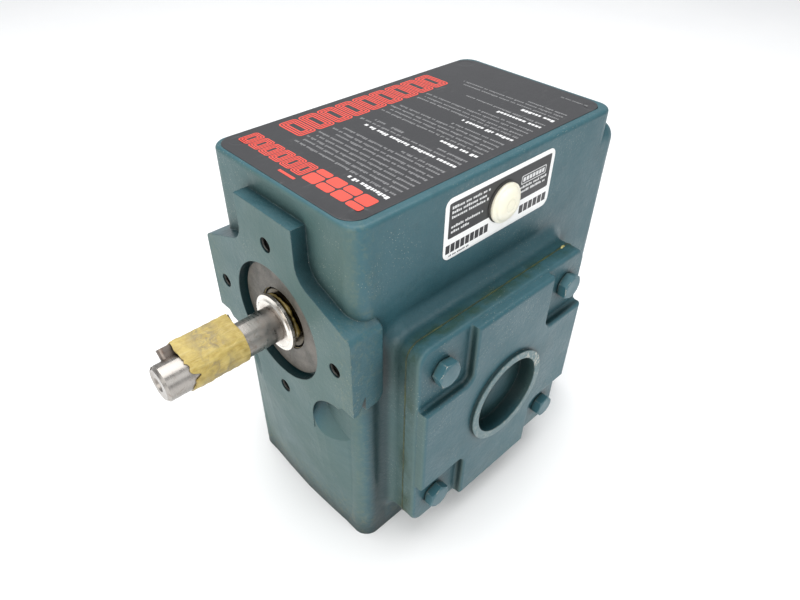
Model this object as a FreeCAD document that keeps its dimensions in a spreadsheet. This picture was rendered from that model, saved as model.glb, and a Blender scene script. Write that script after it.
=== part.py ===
"""Right-angle worm gearbox: cast housing, worm shaft above, worm wheel and output shaft below.

The frame: +Z is up, X runs along the worm shaft, whose free end points to -X, and Y runs along the
output shaft, whose free end points to +Y.  The origin is on the base, straight below the point
where the output axis crosses the housing's middle plane.
"""
import FreeCAD, Part
import math
import os
import re

import Sketcher
from FreeCAD import Placement, Rotation, Vector

# Driving dimensions in millimetres (angles in degrees, counts as plain numbers).
SIZES = {
    # housing
    "output_height": 107.95,
    "centre_distance": 66.675,
    "deck_height": 265.0,
    "ledge_height": 252.0,
    "front_wall": 100.0,
    "deck_rear": 124.0,
    "rear_wall": 136.0,
    "half_width": 65.0,
    "corner_radius": 11.0,
    "wall": 8.0,
    "web_bottom": 206.0,
    "web_top": 214.0,
    "deck_edge": 2.5,
    "ledge_edge": 11.5,
    # input flange
    "flange_face": 109.5,
    "ear_depth": 22.5,
    "ear_reach": 70.5,
    "ear_top": 29.5,
    "ear_bottom": 27.5,
    "ear_round": 4.5,
    "ear_back_round": 7.0,
    "tower_half": 26.5,
    "tower_foot": 46.5,
    "tower_round": 14.0,
    "stem_half": 29.0,
    "stem_drop": 62.0,
    "fairing_drop": 71.0,
    "fairing_rise": 44.0,
    "scoop_place": 57.5,
    "scoop_drop": 62.0,
    "scoop_radius": 28.5,
    "flange_holes": 55.5625,
    "tap_radius": 4.7,
    "tap_depth": 15.0,
    # side pads and covers
    "pad_half": 78.6,
    "pad_half_height": 81.0,
    "pad_radius": 10.0,
    "pad_face": 79.9,
    "pad_blend": 9.0,
    "gasket": 0.8,
    "opening_radius": 70.0,
    "plate": 10.0,
    "raise": 6.2,
    "raise_arm": 36.5,
    "raise_radius": 7.0,
    "rim_height": 2.4,
    "rim_outer": 34.9,
    "rim_inner": 29.2,
    "recess": 12.0,
    "bolt_place": 59.5,
    "bolt_radius": 5.55,
    "bolt_flats": 15.875,
    "bolt_head": 7.1,
    "bolt_length": 26.0,
    # input bore and bearings on the worm
    "register_radius": 39.7,
    "register_floor": 102.5,
    "carrier_face": 104.5,
    "carrier_radius": 37.6,
    "input_bore": 36.0,
    "rear_bore": 31.0,
    # worm pair
    "module": 3.4,
    "wheel_teeth": 30,
    "wheel_half": 13.0,
    "flank_gap": 0.45,
    "worm_tip": 18.6,
    "worm_root": 11.6,
    "wheel_tip": 53.6,
    "wheel_root": 46.9,
    # shafts
    "input_radius": 11.1125,
    "input_end": 185.5,
    "sleeve_radius": 19.3,
    "sleeve_front": 112.2,
    "sleeve_neck": 15.4,
    "collar_radius": 18.8,
    "key_half": 3.175,
    "key_top": 17.0,
    "key_outer": 178.2,
    "key_inner": 133.2,
    "tape_outer": 171.5,
    "tape_inner": 134.5,
    "output_radius": 17.4625,
    "output_end": 165.0,
    "seat_radius": 19.05,
    "hub_seat": 21.0,
    # label and button
    "label_centre": 11.8,
    "label_half": 48.6,
    "label_height": 237.5,
    "label_half_height": 19.9,
    "button_place": 14.0,
    "button_height": 237.0,
    "button_radius": 12.7,
}

doc = FreeCAD.newDocument("worm_gearbox")
sheet = doc.addObject("Spreadsheet::Sheet", "Sizes")
for row, (alias, size) in enumerate(SIZES.items(), start=1):
    sheet.set(f"A{row}", alias)
    sheet.set(f"B{row}", str(size))
    sheet.setAlias(f"B{row}", alias)
doc.recompute()

NODES = []
WORM_AXIS = "output_height + centre_distance"


def formula(text):
    """The text with each size's name pointing at its cell in the sheet."""
    def cell(word):
        return "Sizes." + word.group() if word.group() in SIZES else word.group()
    return re.sub(r"[a-z][a-z_]*", cell, str(text))


def number(text):
    """What a formula is worth now."""
    value = sheet.evalExpression(formula(text))
    return float(getattr(value, "Value", value))


def bind(thing, prop, text):
    """Bind one property to a formula of the sheet's cells."""
    thing.setExpression(prop, formula(text))


def keep(thing, node):
    """Mark a finished piece as a node of its own."""
    thing.Label = node
    NODES.append(thing)
    return thing


def place(thing, at, turn=None):
    """Put a piece at three formulas, turned about an axis (a vector and degrees)."""
    if turn:
        thing.Placement = Placement(Vector(), Rotation(Vector(*turn[0]), turn[1]))
    for axis, text in zip("xyz", at):
        if str(text) != "0":
            bind(thing, "Placement.Base." + axis, text)
    return thing


# ---------------------------------------------------------------- sketches and part design features

def new_body(name, at=(0, 0, 0), turn=None):
    return place(doc.addObject("PartDesign::Body", name), at, turn)


def new_sketch(body, plane, offset="0", rise="0"):
    """A sketch on an origin plane, moved by offset along its normal and by rise along its own Y."""
    sketch = body.newObject("Sketcher::SketchObject", "Sketch")
    support = next(item for item in body.Origin.OriginFeatures if item.Role == plane)
    sketch.AttachmentSupport = [(support, "")]
    sketch.MapMode = "FlatFace"
    if str(offset) != "0":
        bind(sketch, "AttachmentOffset.Base.z", offset)
    if str(rise) != "0":
        bind(sketch, "AttachmentOffset.Base.y", rise)
    return sketch


def fix_point(sketch, item, end, u, v):
    """Hold a point of the sketch at two formulas."""
    for kind, axis, text in (("DistanceX", -2, u), ("DistanceY", -1, v)):
        value = number(text)
        if abs(value) < 1e-9:
            sketch.addConstraint(Sketcher.Constraint("PointOnObject", item, end, axis))
            continue
        index = sketch.addConstraint(Sketcher.Constraint(kind, -1, 1, item, end, value))
        bind(sketch, f"Constraints[{index}]", text)


def outline(sketch, points):
    """A closed outline of straight lines through points given as pairs of formulas."""
    places = [Vector(number(u), number(v), 0) for u, v in points]
    first = sketch.GeometryCount
    count = len(points)
    for index in range(count):
        sketch.addGeometry(Part.LineSegment(places[index], places[(index + 1) % count]), False)
    for index in range(count):
        following = first + (index + 1) % count
        sketch.addConstraint(Sketcher.Constraint("Coincident", first + index, 2, following, 1))
    for index, (u, v) in enumerate(points):
        fix_point(sketch, first + index, 1, u, v)


def circle(sketch, u, v, radius):
    """A circle whose centre and radius are formulas."""
    middle = Vector(number(u), number(v), 0)
    item = sketch.addGeometry(Part.Circle(middle, Vector(0, 0, 1), number(radius)), False)
    index = sketch.addConstraint(Sketcher.Constraint("Radius", item, number(radius)))
    bind(sketch, f"Constraints[{index}]", radius)
    fix_point(sketch, item, 3, u, v)


def rounded(sketch, low_u, high_u, low_v, high_v, radius):
    """A rectangle with four round corners."""
    left, right, low, high, bend = (number(text) for text in (low_u, high_u, low_v, high_v, radius))
    corners = [(right - bend, high - bend, 0), (left + bend, high - bend, 90),
               (left + bend, low + bend, 180), (right - bend, low + bend, 270)]
    arcs = []
    for u, v, start in corners:
        ring = Part.Circle(Vector(u, v, 0), Vector(0, 0, 1), bend)
        arc = Part.ArcOfCircle(ring, math.radians(start), math.radians(start + 90))
        arcs.append(sketch.addGeometry(arc, False))
    for index in range(4):
        start = sketch.getPoint(arcs[index], 2)
        stop = sketch.getPoint(arcs[(index + 1) % 4], 1)
        line = sketch.addGeometry(Part.LineSegment(start, stop), False)
        sketch.addConstraint(Sketcher.Constraint("Tangent", arcs[index], 2, line, 1))
        sketch.addConstraint(Sketcher.Constraint("Tangent", line, 2, arcs[(index + 1) % 4], 1))
        sketch.addConstraint(Sketcher.Constraint("Vertical" if index % 2 else "Horizontal", line))
    for arc in arcs[1:]:
        sketch.addConstraint(Sketcher.Constraint("Equal", arcs[0], arc))
    index = sketch.addConstraint(Sketcher.Constraint("Radius", arcs[0], bend))
    bind(sketch, f"Constraints[{index}]", radius)
    fix_point(sketch, arcs[0], 3, f"({high_u}) - ({radius})", f"({high_v}) - ({radius})")
    fix_point(sketch, arcs[2], 3, f"({low_u}) + ({radius})", f"({low_v}) + ({radius})")


def pad(body, sketch, length, both=False, back=False):
    """Add material over a sketch, along its normal, back against it or to both sides."""
    feature = body.newObject("PartDesign::Pad", "Pad")
    feature.Profile = sketch
    feature.Midplane = both
    feature.Reversed = back
    bind(feature, "Length", length)
    doc.recompute()
    return feature


def pocket(body, sketch, depth, both=False, back=False):
    """Take material away under a sketch, against its normal, along it or to both sides."""
    before = body.Shape.Volume
    feature = body.newObject("PartDesign::Pocket", "Pocket")
    feature.Profile = sketch
    feature.Midplane = both
    feature.Reversed = back
    bind(feature, "Length", depth)
    doc.recompute()
    if not feature.Shape.Volume < before - 1e-6:
        raise RuntimeError("a pocket took nothing away from " + body.Name)
    return feature


def turned(body, sketch, cut=False):
    """Revolve a sketch about its own horizontal axis."""
    feature = body.newObject("PartDesign::Groove" if cut else "PartDesign::Revolution", "Turned")
    feature.Profile = sketch
    feature.ReferenceAxis = (sketch, ["H_Axis"])
    feature.Angle = 360
    doc.recompute()
    return feature


def round_edges(body, radius, wanted):
    """Fillet the edges of the body's last feature that the wanted test picks."""
    base = body.Tip
    names = [f"Edge{index}" for index, edge in enumerate(base.Shape.Edges, start=1) if wanted(edge)]
    feature = body.newObject("PartDesign::Fillet", "Fillet")
    feature.Base = (base, names)
    bind(feature, "Radius", radius)
    doc.recompute()
    return feature


def ends(edge):
    return [vertex.Point for vertex in edge.Vertexes]


def level(edge, axis, text):
    """True when every point of the edge lies at one height along an axis."""
    value = number(text)
    return all(abs(getattr(point, axis) - value) < 0.01 for point in ends(edge))


def turned_piece(node, points, plane, at):
    """A node turned about its sketch's horizontal axis."""
    body = new_body(node, at)
    profile = new_sketch(body, plane)
    outline(profile, points)
    turned(body, profile)
    return keep(body, node)


ALONG_X = "XZ_Plane"
ALONG_Y = "YZ_Plane"
AT_WORM = (0, 0, WORM_AXIS)
AT_OUTPUT = (0, 0, "output_height")


def ring_piece(node, plane, at, start, stop, inner, outer):
    """A plain ring between two places along its axis."""
    points = [(start, inner), (stop, inner), (stop, outer), (start, outer)]
    return turned_piece(node, points, plane, at)


# ---------------------------------------------------------------- housing

def housing_walls(body):
    """Outer form: body block, deck block, side pads and input flange."""
    plan = new_sketch(body, "XY_Plane")
    rounded(plan, "-front_wall", "rear_wall", "-half_width", "half_width", "corner_radius")
    pad(body, plan, "ledge_height")
    round_edges(body, "ledge_edge", lambda edge: level(edge, "z", "ledge_height"))
    deck = new_sketch(body, "XY_Plane", "deck_height")
    rounded(deck, "-front_wall", "deck_rear", "-half_width", "half_width", "corner_radius")
    pad(body, deck, "deck_height - ledge_height + 2.5 * ledge_edge", back=True)
    round_edges(body, "deck_edge", lambda edge: level(edge, "z", "deck_height"))
    side = new_sketch(body, "XZ_Plane", rise="output_height")
    rounded(side, "-pad_half", "pad_half", "-pad_half_height", "pad_half_height", "pad_radius")
    pad(body, side, "2 * pad_face", both=True)
    flange = new_sketch(body, "YZ_Plane", "-flange_face", WORM_AXIS)
    right = [("tower_half", "ledge_height - output_height - centre_distance"), ("tower_half", "tower_foot"),
             ("ear_reach", "ear_top"), ("ear_reach", "-ear_bottom"), ("60", "-ear_bottom"),
             ("stem_half", "-stem_drop"), ("stem_half", "-fairing_drop - 1")]
    left = [("-" + u, v) for u, v in reversed(right)]
    outline(flange, right + left)
    pad(body, flange, "ear_depth")


# Half of the front wall's hump: distance across, depth at its top, depth at the base.
FAIRING_HALF = ((0, 109.5, 102), (12, 109.45, 101.6), (22, 109.3, 101.2), (29, 109, 100.9),
                (36, 107.6, 100.5), (44, 104.6, 100), (52, 101.4, 99.4), (56, 99, 99))


def fairing_section(body, column, height):
    """The hump's outline in a level plane, closed inside the front wall."""
    section = new_sketch(body, "XY_Plane", height)
    near = [(f"-{row[column]}", f"-{row[0]}") for row in reversed(FAIRING_HALF[1:])]
    far = [(f"-{row[column]}", f"{row[0]}") for row in FAIRING_HALF]
    outline(section, [("-98", "-56")] + near + far + [("-98", "56")])
    return section


def front_fairing(body):
    """Below the flange the front wall is a low hump, flatter towards the base."""
    shoulder = WORM_AXIS + " - fairing_drop"
    pad(body, fairing_section(body, 1, shoulder), "fairing_rise")
    loft = body.newObject("PartDesign::AdditiveLoft", "Fairing")
    loft.Profile = fairing_section(body, 2, "0")
    loft.Sections = [fairing_section(body, 1, shoulder)]
    loft.Ruled = True
    doc.recompute()


def scoops(body):
    """A round scoop under each ear, slanting upwards into the wall."""
    mouth = new_sketch(body, "YZ_Plane", "-flange_face - 1", WORM_AXIS)
    for u in ("-scoop_place", "scoop_place"):
        circle(mouth, u, "-scoop_drop", "scoop_radius")
    cut = body.newObject("PartDesign::Pocket", "Scoops")
    cut.Profile = mouth
    cut.UseCustomVector = True
    cut.Direction = Vector(0.45, 0, 0.89)
    cut.AlongSketchNormal = True
    bind(cut, "Length", "flange_face + 1 - front_wall - 0.1")
    doc.recompute()


def housing_rounding(body):
    """Round the flange's corners and blend flange and pads into the walls."""
    worm = number(WORM_AXIS)
    face = number("-flange_face")

    def along_flange(edge, reach, height):
        points = ends(edge)
        return (len(points) == 2 and abs(points[0].x - points[1].x) > 5
                and all(abs(abs(point.y) - reach) < 0.1 for point in points)
                and all(abs(point.z - worm - height) < 0.1 for point in points)
                and min(point.x for point in points) < face + 0.1)

    def corners(reach, heights):
        places = [number(height) for height in heights]
        return lambda edge: any(along_flange(edge, number(reach), height) for height in places)

    round_edges(body, "tower_round", corners("tower_half", ["tower_foot"]))
    round_edges(body, "ear_round", corners("ear_reach", ["ear_top", "-ear_bottom"]))
    ear_back = face + number("ear_depth")

    def behind_ear(edge):
        points = ends(edge)
        return (level(edge, "x", str(ear_back)) and min(abs(point.y) for point in points) > 64.9
                and abs(points[0].z - points[-1].z) < 0.1)

    round_edges(body, "ear_back_round", behind_ear)
    half_width = number("half_width")
    pad_reach = number("pad_half")

    def pad_foot(edge):
        points = ends(edge)
        return all(abs(abs(point.y) - half_width) < 0.01 and abs(point.x) < pad_reach + 0.1
                   and 20 < point.z < 195 for point in points)

    round_edges(body, "pad_blend", pad_foot)


def housing_chambers(body):
    """Gear chamber, air chamber above it, bearing bosses and the columns round the tapped holes."""
    gears = new_sketch(body, "XZ_Plane")
    rounded(gears, "wall - front_wall", "rear_wall - wall", "wall", "web_bottom", "wall")
    pocket(body, gears, "2 * (half_width - wall)", both=True)
    air = new_sketch(body, "XZ_Plane")
    rounded(air, "wall - front_wall", "deck_rear - wall", "web_top", "deck_height - wall", "wall")
    pocket(body, air, "2 * (half_width - wall)", both=True)
    openings = new_sketch(body, "XZ_Plane", rise="output_height")
    circle(openings, "0", "0", "opening_radius")
    pocket(body, openings, "2 * pad_face + 2", both=True)
    front = new_sketch(body, "YZ_Plane", "wall - front_wall - 1", WORM_AXIS)
    circle(front, "0", "0", "input_bore + 7")
    pad(body, front, "17")
    rear = new_sketch(body, "YZ_Plane", "rear_wall - wall + 1", WORM_AXIS)
    circle(rear, "0", "0", "rear_bore + 7")
    pad(body, rear, "25", back=True)
    for plane_height, back, depth in (("wall - 1", False, "18"), ("deck_height - wall + 1", True, "13")):
        columns = new_sketch(body, "XY_Plane", plane_height)
        for u, v in corner_holes():
            circle(columns, u, v, "9")
        pad(body, columns, depth, back=back)


def corner_holes():
    """Places of the tapped holes near the corners of the base and of the deck."""
    return [(u, v) for u in ("13.5 - front_wall", "deck_rear - 13.5")
            for v in ("half_width - 10.6", "10.6 - half_width")]


def housing_bores(body):
    """Bores for both worm bearings, with a register in front and a ring's groove behind."""
    front = new_sketch(body, "XZ_Plane", rise=WORM_AXIS)
    outline(front, [("-flange_face - 1", "0"), ("-flange_face - 1", "register_radius"),
                    ("-register_floor", "register_radius"), ("-register_floor", "input_bore"),
                    ("-74", "input_bore"), ("-74", "0")])
    turned(body, front, cut=True)
    rear = new_sketch(body, "XZ_Plane", rise=WORM_AXIS)
    outline(rear, [("rear_wall + 1", "0"), ("rear_wall + 1", "rear_bore"), ("134.8", "rear_bore"),
                   ("134.8", "rear_bore + 1.6"), ("133.2", "rear_bore + 1.6"), ("133.2", "rear_bore"),
                   ("101", "rear_bore"), ("101", "0")])
    turned(body, rear, cut=True)


def housing_holes(body):
    """Tapped holes, oil plug holes and the vent hole."""
    flange = new_sketch(body, "YZ_Plane", "-flange_face", WORM_AXIS)
    for u, v in (("flange_holes", "0"), ("-flange_holes", "0"), ("0", "flange_holes"),
                 ("0", "-flange_holes")):
        circle(flange, u, v, "tap_radius")
    pocket(body, flange, "tap_depth", back=True)
    for offset, back in (("pad_face", False), ("-pad_face", True)):
        cover = new_sketch(body, "XZ_Plane", offset, "output_height")
        for u in ("bolt_place", "-bolt_place"):
            for v in ("bolt_place", "-bolt_place"):
                circle(cover, u, v, "bolt_radius + 0.05")
        pocket(body, cover, "18", back=back)
    for height, back in (("0", True), ("deck_height", False)):
        corners = new_sketch(body, "XY_Plane", height)
        for u, v in corner_holes():
            circle(corners, u, v, "tap_radius")
        pocket(body, corners, "tap_depth", back=back)
    plugs = new_sketch(body, "YZ_Plane", "rear_wall")
    for u, v in plug_places():
        circle(plugs, u, v, "8.35")
    pocket(body, plugs, "wall + 0.5")
    vent = new_sketch(body, "XZ_Plane", "half_width")
    circle(vent, "button_place", "button_height", "4.05")
    pocket(body, vent, "wall + 0.5")


def plug_places():
    """Drain, level and fill plugs on the rear wall."""
    return [("0", "26"), ("40", "output_height"), ("-40", "output_height")]


def make_housing():
    body = new_body("housing")
    housing_walls(body)
    front_fairing(body)
    scoops(body)
    housing_rounding(body)
    housing_chambers(body)
    housing_bores(body)
    housing_holes(body)
    return keep(body, "housing")


make_housing()


# ---------------------------------------------------------------- covers, gaskets and bolts

def gasket(node, side):
    body = new_body(node, AT_OUTPUT)
    offset = "pad_face + gasket" if side > 0 else "-pad_face"
    sheet_outline = new_sketch(body, ALONG_X, offset)
    rounded(sheet_outline, "-pad_half", "pad_half", "-pad_half_height", "pad_half_height", "pad_radius")
    circle(sheet_outline, "0", "0", "opening_radius + 1.5")
    for u in ("bolt_place", "-bolt_place"):
        for v in ("bolt_place", "-bolt_place"):
            circle(sheet_outline, u, v, "bolt_radius + 0.3")
    pad(body, sheet_outline, "gasket", back=True)
    return keep(body, node)


def cover(node, turn, middle):
    """A bearing cover: plate, raised cross, rim, recess and the bearing's seat inside.

    It is drawn facing -Y, and the open cover is the same casting turned about Z.
    """
    body = new_body(node, AT_OUTPUT, turn)
    back = "pad_face + gasket"
    plate = new_sketch(body, ALONG_X, back)
    rounded(plate, "-pad_half", "pad_half", "-pad_half_height", "pad_half_height", "pad_radius")
    pad(body, plate, "plate")
    round_edges(body, "2.6", lambda edge: level(edge, "y", f"-({back} + plate)"))
    for wide, tall in (("pad_half - 1", "raise_arm"), ("raise_arm", "pad_half_height - 1")):
        arm = new_sketch(body, ALONG_X, back + " + plate - 1")
        outline(arm, [(f"-({wide})", f"-({tall})"), (wide, f"-({tall})"), (wide, tall), (f"-({wide})", tall)])
        pad(body, arm, "raise + 1")
    inner = number("raise_arm")
    top = -number(back + " + plate + raise")

    def notch_corner(edge):
        points = ends(edge)
        return (len(points) == 2 and min(point.y for point in points) < top + 0.01
                and all(abs(abs(point.x) - inner) < 0.01 and abs(abs(point.z) - inner) < 0.01
                        for point in points))

    round_edges(body, "raise_radius", notch_corner)
    round_edges(body, "2.4", lambda edge: level(edge, "y", f"-({back} + plate + raise)"))
    foot = -number(back + " + plate")

    def cross_foot(edge):
        points = ends(edge)
        return (all(abs(point.y - foot) < 0.01 for point in points)
                and all(abs(point.x) < 76.5 and abs(point.z) < 79 for point in points)
                and all(min(abs(abs(point.x) - inner), abs(abs(point.z) - inner)) < 8 for point in points))

    round_edges(body, "2", cross_foot)
    rim = new_sketch(body, ALONG_X, back + " + plate + raise - 1")
    circle(rim, "0", "0", "rim_outer")
    pad(body, rim, "rim_height + 1")
    spigot = new_sketch(body, ALONG_X, back + " + 0.5")
    circle(spigot, "0", "0", "opening_radius - 0.1")
    pad(body, spigot, "4.5", back=True)
    seat = new_sketch(body, ALONG_X, back)
    circle(seat, "0", "0", "46")
    pad(body, seat, "22", back=True)
    hollow = new_sketch(body, ALONG_Y)
    face = "-(pad_face + gasket + plate + raise + rim_height)"
    outline(hollow, middle(face))
    turned(body, hollow, cut=True)
    holes = new_sketch(body, ALONG_X, back + " + plate")
    for u in ("bolt_place", "-bolt_place"):
        for v in ("bolt_place", "-bolt_place"):
            circle(holes, u, v, "bolt_radius + 0.3")
    pocket(body, holes, "plate + 1")
    return keep(body, node)


def blind_middle(face):
    """Two hollows with a closed web between them: the outer recess and the bearing's seat."""
    return [(face + " - 1", "0"), (face + " - 1", "rim_inner"), (face + " + recess", "rim_inner"),
            (face + " + recess", "0")]


def open_middle(face):
    """A hole right through: seal pocket, lip and bearing seat."""
    return [(face + " - 1", "0"), (face + " - 1", "30"), (face + " + 15", "30"), (face + " + 15", "22"),
            (face + " + 20", "22"), (face + " + 20", "36.5"), ("-50", "36.5"), ("-50", "0")]


def blind_seat(body):
    seat = new_sketch(body, ALONG_Y)
    outline(seat, [("-79.2", "0"), ("-79.2", "36.5"), ("-50", "36.5"), ("-50", "0")])
    turned(body, seat, cut=True)


def bolts(node, turn):
    """Four hex head bolts on one cover."""
    reach = f"bolt_flats / {math.sqrt(3):.7f}"
    links = []
    for u in ("bolt_place", "-bolt_place"):
        for v in ("bolt_place", "-bolt_place"):
            body = new_body("bolt")
            seat = "pad_face + gasket + plate"
            shank = new_sketch(body, ALONG_X, seat)
            circle(shank, u, v, "bolt_radius - 0.05")
            pad(body, shank, "bolt_length", back=True)
            head = new_sketch(body, ALONG_X, seat)
            corners = []
            for index in range(6):
                angle = math.radians(60 * index + 30 * (u[0] == "-") + 8)
                corners.append((f"{u} + {math.cos(angle):.5f} * {reach}",
                                f"{v} + {math.sin(angle):.5f} * {reach}"))
            outline(head, corners)
            pad(body, head, "bolt_head")
            links.append(body)
    group = doc.addObject("Part::Compound", node)
    group.Links = links
    return keep(place(group, AT_OUTPUT, turn), node)


HALF_TURN = ((0, 0, 1), 180)
gasket("gasket_blind", 1)
gasket("gasket_output", -1)
blind_seat(cover("cover_blind", None, blind_middle))
cover("cover_output", HALF_TURN, open_middle)
bolts("bolts_blind", None)
bolts("bolts_output", HALF_TURN)


# ---------------------------------------------------------------- bearings

def ball_bearing(names, plane, at, start, width, bore, outer, balls):
    """A deep groove ball bearing: outer race, inner race and a ring of balls."""
    outer_node, inner_node, balls_node = names
    pitch = f"(({bore}) + ({outer})) / 2"
    ball = f"(({outer}) - ({bore})) * 0.28"
    stop = f"({start}) + ({width})"
    centre = f"({start}) + ({width}) / 2"
    land = f"({ball}) * 0.5"
    groove = f"({ball}) * 1.03"
    lying = Rotation(Vector(0, 1, 0), 90) if plane == ALONG_X else Rotation(Vector(1, 0, 0), -90)
    for node, low, high in ((outer_node, f"{pitch} + {land}", outer),
                            (inner_node, bore, f"{pitch} - {land}")):
        blank = new_body(node + "_blank")
        profile = new_sketch(blank, plane)
        outline(profile, [(start, low), (stop, low), (stop, high), (start, high)])
        turned(blank, profile)
        track = doc.addObject("Part::Torus", node + "_track")
        bind(track, "Radius1", pitch)
        bind(track, "Radius2", groove)
        track.Placement = Placement(Vector(), lying)
        bind(track, "Placement.Base." + ("x" if plane == ALONG_X else "y"), centre)
        race = doc.addObject("Part::Cut", node)
        race.Base = blank
        race.Tool = track
        keep(place(race, at), node)
    links = []
    for index in range(balls):
        sphere = doc.addObject("Part::Sphere", "ball")
        bind(sphere, "Radius", ball)
        angle = 2 * math.pi * (index + 0.5) / balls
        first, second = f"{math.cos(angle):.6f} * {pitch}", f"{math.sin(angle):.6f} * {pitch}"
        spot = (centre, first, second) if plane == ALONG_X else (first, centre, second)
        links.append(place(sphere, spot))
    ring = doc.addObject("Part::Compound", balls_node)
    ring.Links = links
    keep(place(ring, at), balls_node)


def bearing_names(name):
    return (f"race_{name}_outer", f"race_{name}_inner", f"balls_{name}")


ball_bearing(bearing_names("input"), ALONG_X, AT_WORM, "-94.9", "19", "15.02", "input_bore - 0.02", 8)
ball_bearing(bearing_names("rear"), ALONG_X, AT_WORM, "104.1", "17", "12.52", "rear_bore - 0.02", 8)
ball_bearing(bearing_names("blind"), ALONG_Y, AT_OUTPUT, "-79", "20", "seat_radius + 0.02", "36.48", 10)
ball_bearing(bearing_names("output"), ALONG_Y, AT_OUTPUT, "59", "20", "seat_radius + 0.02", "36.48", 10)


# ---------------------------------------------------------------- worm line

def make_worm():
    """Input shaft, bearing seats and the worm's thread in one piece, with an open keyway."""
    body = new_body("worm_shaft", AT_WORM)
    profile = new_sketch(body, ALONG_X)
    outline(profile, [("-input_end", "0"), ("-input_end", "input_radius - 1.6"),
                      ("1.6 - input_end", "input_radius"), ("-95.1", "input_radius"),
                      ("-95.1", "15"), ("-75.8", "15"), ("-75.8", "19"), ("-68", "19"), ("-68", "14"),
                      ("-36", "14"), ("-33", "worm_root"), ("33", "worm_root"), ("36", "14"),
                      ("96", "14"), ("96", "17"), ("104", "17"), ("104", "12.5"), ("121.2", "12.5"),
                      ("121.2", "11.5"), ("128.4", "11.5"), ("128.4", "0")])
    turned(body, profile)
    centre = new_sketch(body, ALONG_X)
    outline(centre, [("-input_end - 1", "0"), ("-input_end - 1", "5"), ("4 - input_end", "2"),
                     ("9 - input_end", "2"), ("10 - input_end", "0")])
    turned(body, centre, cut=True)
    return body


def worm_thread(body):
    """One thread with straight flanks, thinned by the flank gap."""
    thread = new_sketch(body, ALONG_X)
    pitch = "3.14159265 * module"
    slope = math.tan(math.radians(20))
    middle = "(centre_distance - module * wheel_teeth / 2)"
    half_pitch = f"({pitch} / 4 - flank_gap)"
    half_tip = f"{half_pitch} - (worm_tip - {middle}) * {slope:.6f}"
    half_foot = f"{half_pitch} + ({middle} - worm_root + 0.6) * {slope:.6f}"
    start = f"-2.5 * {pitch}"
    outline(thread, [(f"{start} - ({half_foot})", "worm_root - 0.6"),
                     (f"{start} + {half_foot}", "worm_root - 0.6"),
                     (f"{start} + {half_tip}", "worm_tip"), (f"{start} - ({half_tip})", "worm_tip")])
    helix = body.newObject("PartDesign::AdditiveHelix", "Thread")
    helix.Profile = thread
    helix.ReferenceAxis = (thread, ["H_Axis"])
    helix.Mode = 0
    bind(helix, "Pitch", pitch)
    bind(helix, "Height", "5 * " + pitch)
    doc.recompute()
    return helix


KEY_TILT = 45
KEY_FLOOR = "9.1"


def tilted_sketch(body, height):
    """A sketch at a height above the worm axis, on the key's side, which leans towards +Y."""
    sketch = new_sketch(body, "XY_Plane")
    sketch.AttachmentOffset = Placement(Vector(), Rotation(Vector(1, 0, 0), -KEY_TILT))
    lean = math.radians(KEY_TILT)
    bind(sketch, "AttachmentOffset.Base.y", f"({height}) * {math.sin(lean):.6f}")
    bind(sketch, "AttachmentOffset.Base.z", f"({height}) * {math.cos(lean):.6f}")
    return sketch


def keyway(body):
    """An open slot for the key, from the shaft's end to just before the sleeve."""
    slot = tilted_sketch(body, KEY_FLOOR)
    outline(slot, [("-input_end - 1", "-key_half"), ("-122.5", "-key_half"), ("-122.5", "key_half"),
                   ("-input_end - 1", "key_half")])
    pocket(body, slot, "8", back=True)


worm = make_worm()
worm_thread(worm)
keyway(worm)
keep(worm, "worm_shaft")


def make_input_key():
    """A key with two round ends, a little narrower than its slot."""
    body = new_body("input_key", AT_WORM)
    bar = tilted_sketch(body, KEY_FLOOR + " + 0.02")
    rounded(bar, "-key_outer", "-key_inner", "0.02 - key_half", "key_half - 0.02", "key_half - 0.05")
    pad(body, bar, "key_top - 9.1 - 0.02")
    return keep(body, "input_key")


def make_key_tape():
    """A band of tape drawn tight over the shaft and its key."""
    start, stop = -number("tape_outer"), -number("tape_inner")
    shells = []
    for gap in (0.08, 0.55):
        round_part = number("input_radius") + gap
        side = number("key_half") + gap
        top = number("key_top") + gap
        reach = math.hypot(side, top)
        touch = math.atan2(top, side) - math.acos(round_part / reach)
        right = Vector(0, side, top)
        left = Vector(0, -side, top)
        low_right = Vector(0, round_part * math.cos(touch), round_part * math.sin(touch))
        low_left = Vector(0, -low_right.y, low_right.z)
        edges = [Part.LineSegment(low_right, right).toShape(), Part.LineSegment(right, left).toShape(),
                 Part.LineSegment(left, low_left).toShape(),
                 Part.Arc(low_left, Vector(0, 0, -round_part), low_right).toShape()]
        shells.append(Part.Face(Part.Wire(edges)).extrude(Vector(stop - start, 0, 0)))
    band = shells[1].cut(shells[0])
    band.rotate(Vector(), Vector(1, 0, 0), -KEY_TILT)
    band.translate(Vector(start, 0, 0))
    feature = doc.addObject("Part::Feature", "key_tape")
    feature.Shape = band
    return keep(place(feature, AT_WORM), "key_tape")


make_input_key()
make_key_tape()
turned_piece("seal_sleeve", [("-sleeve_front", "input_radius + 0.02"), ("-95.2", "input_radius + 0.02"),
                             ("-95.2", "sleeve_radius"), ("-103.4", "sleeve_radius"),
                             ("-104.6", "sleeve_neck"), ("-108.6", "sleeve_neck"), ("-109", "collar_radius"),
                             ("1.3 - sleeve_front", "collar_radius - 0.2"),
                             ("0.8 - sleeve_front", "collar_radius - 2.4"),
                             ("-sleeve_front", "collar_radius - 3.6")], ALONG_X, AT_WORM)
ring_piece("worm_nut", ALONG_X, AT_WORM, "121.3", "127.5", "11.52", "17")


# ---------------------------------------------------------------- parts fixed in the input and rear bores

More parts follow.
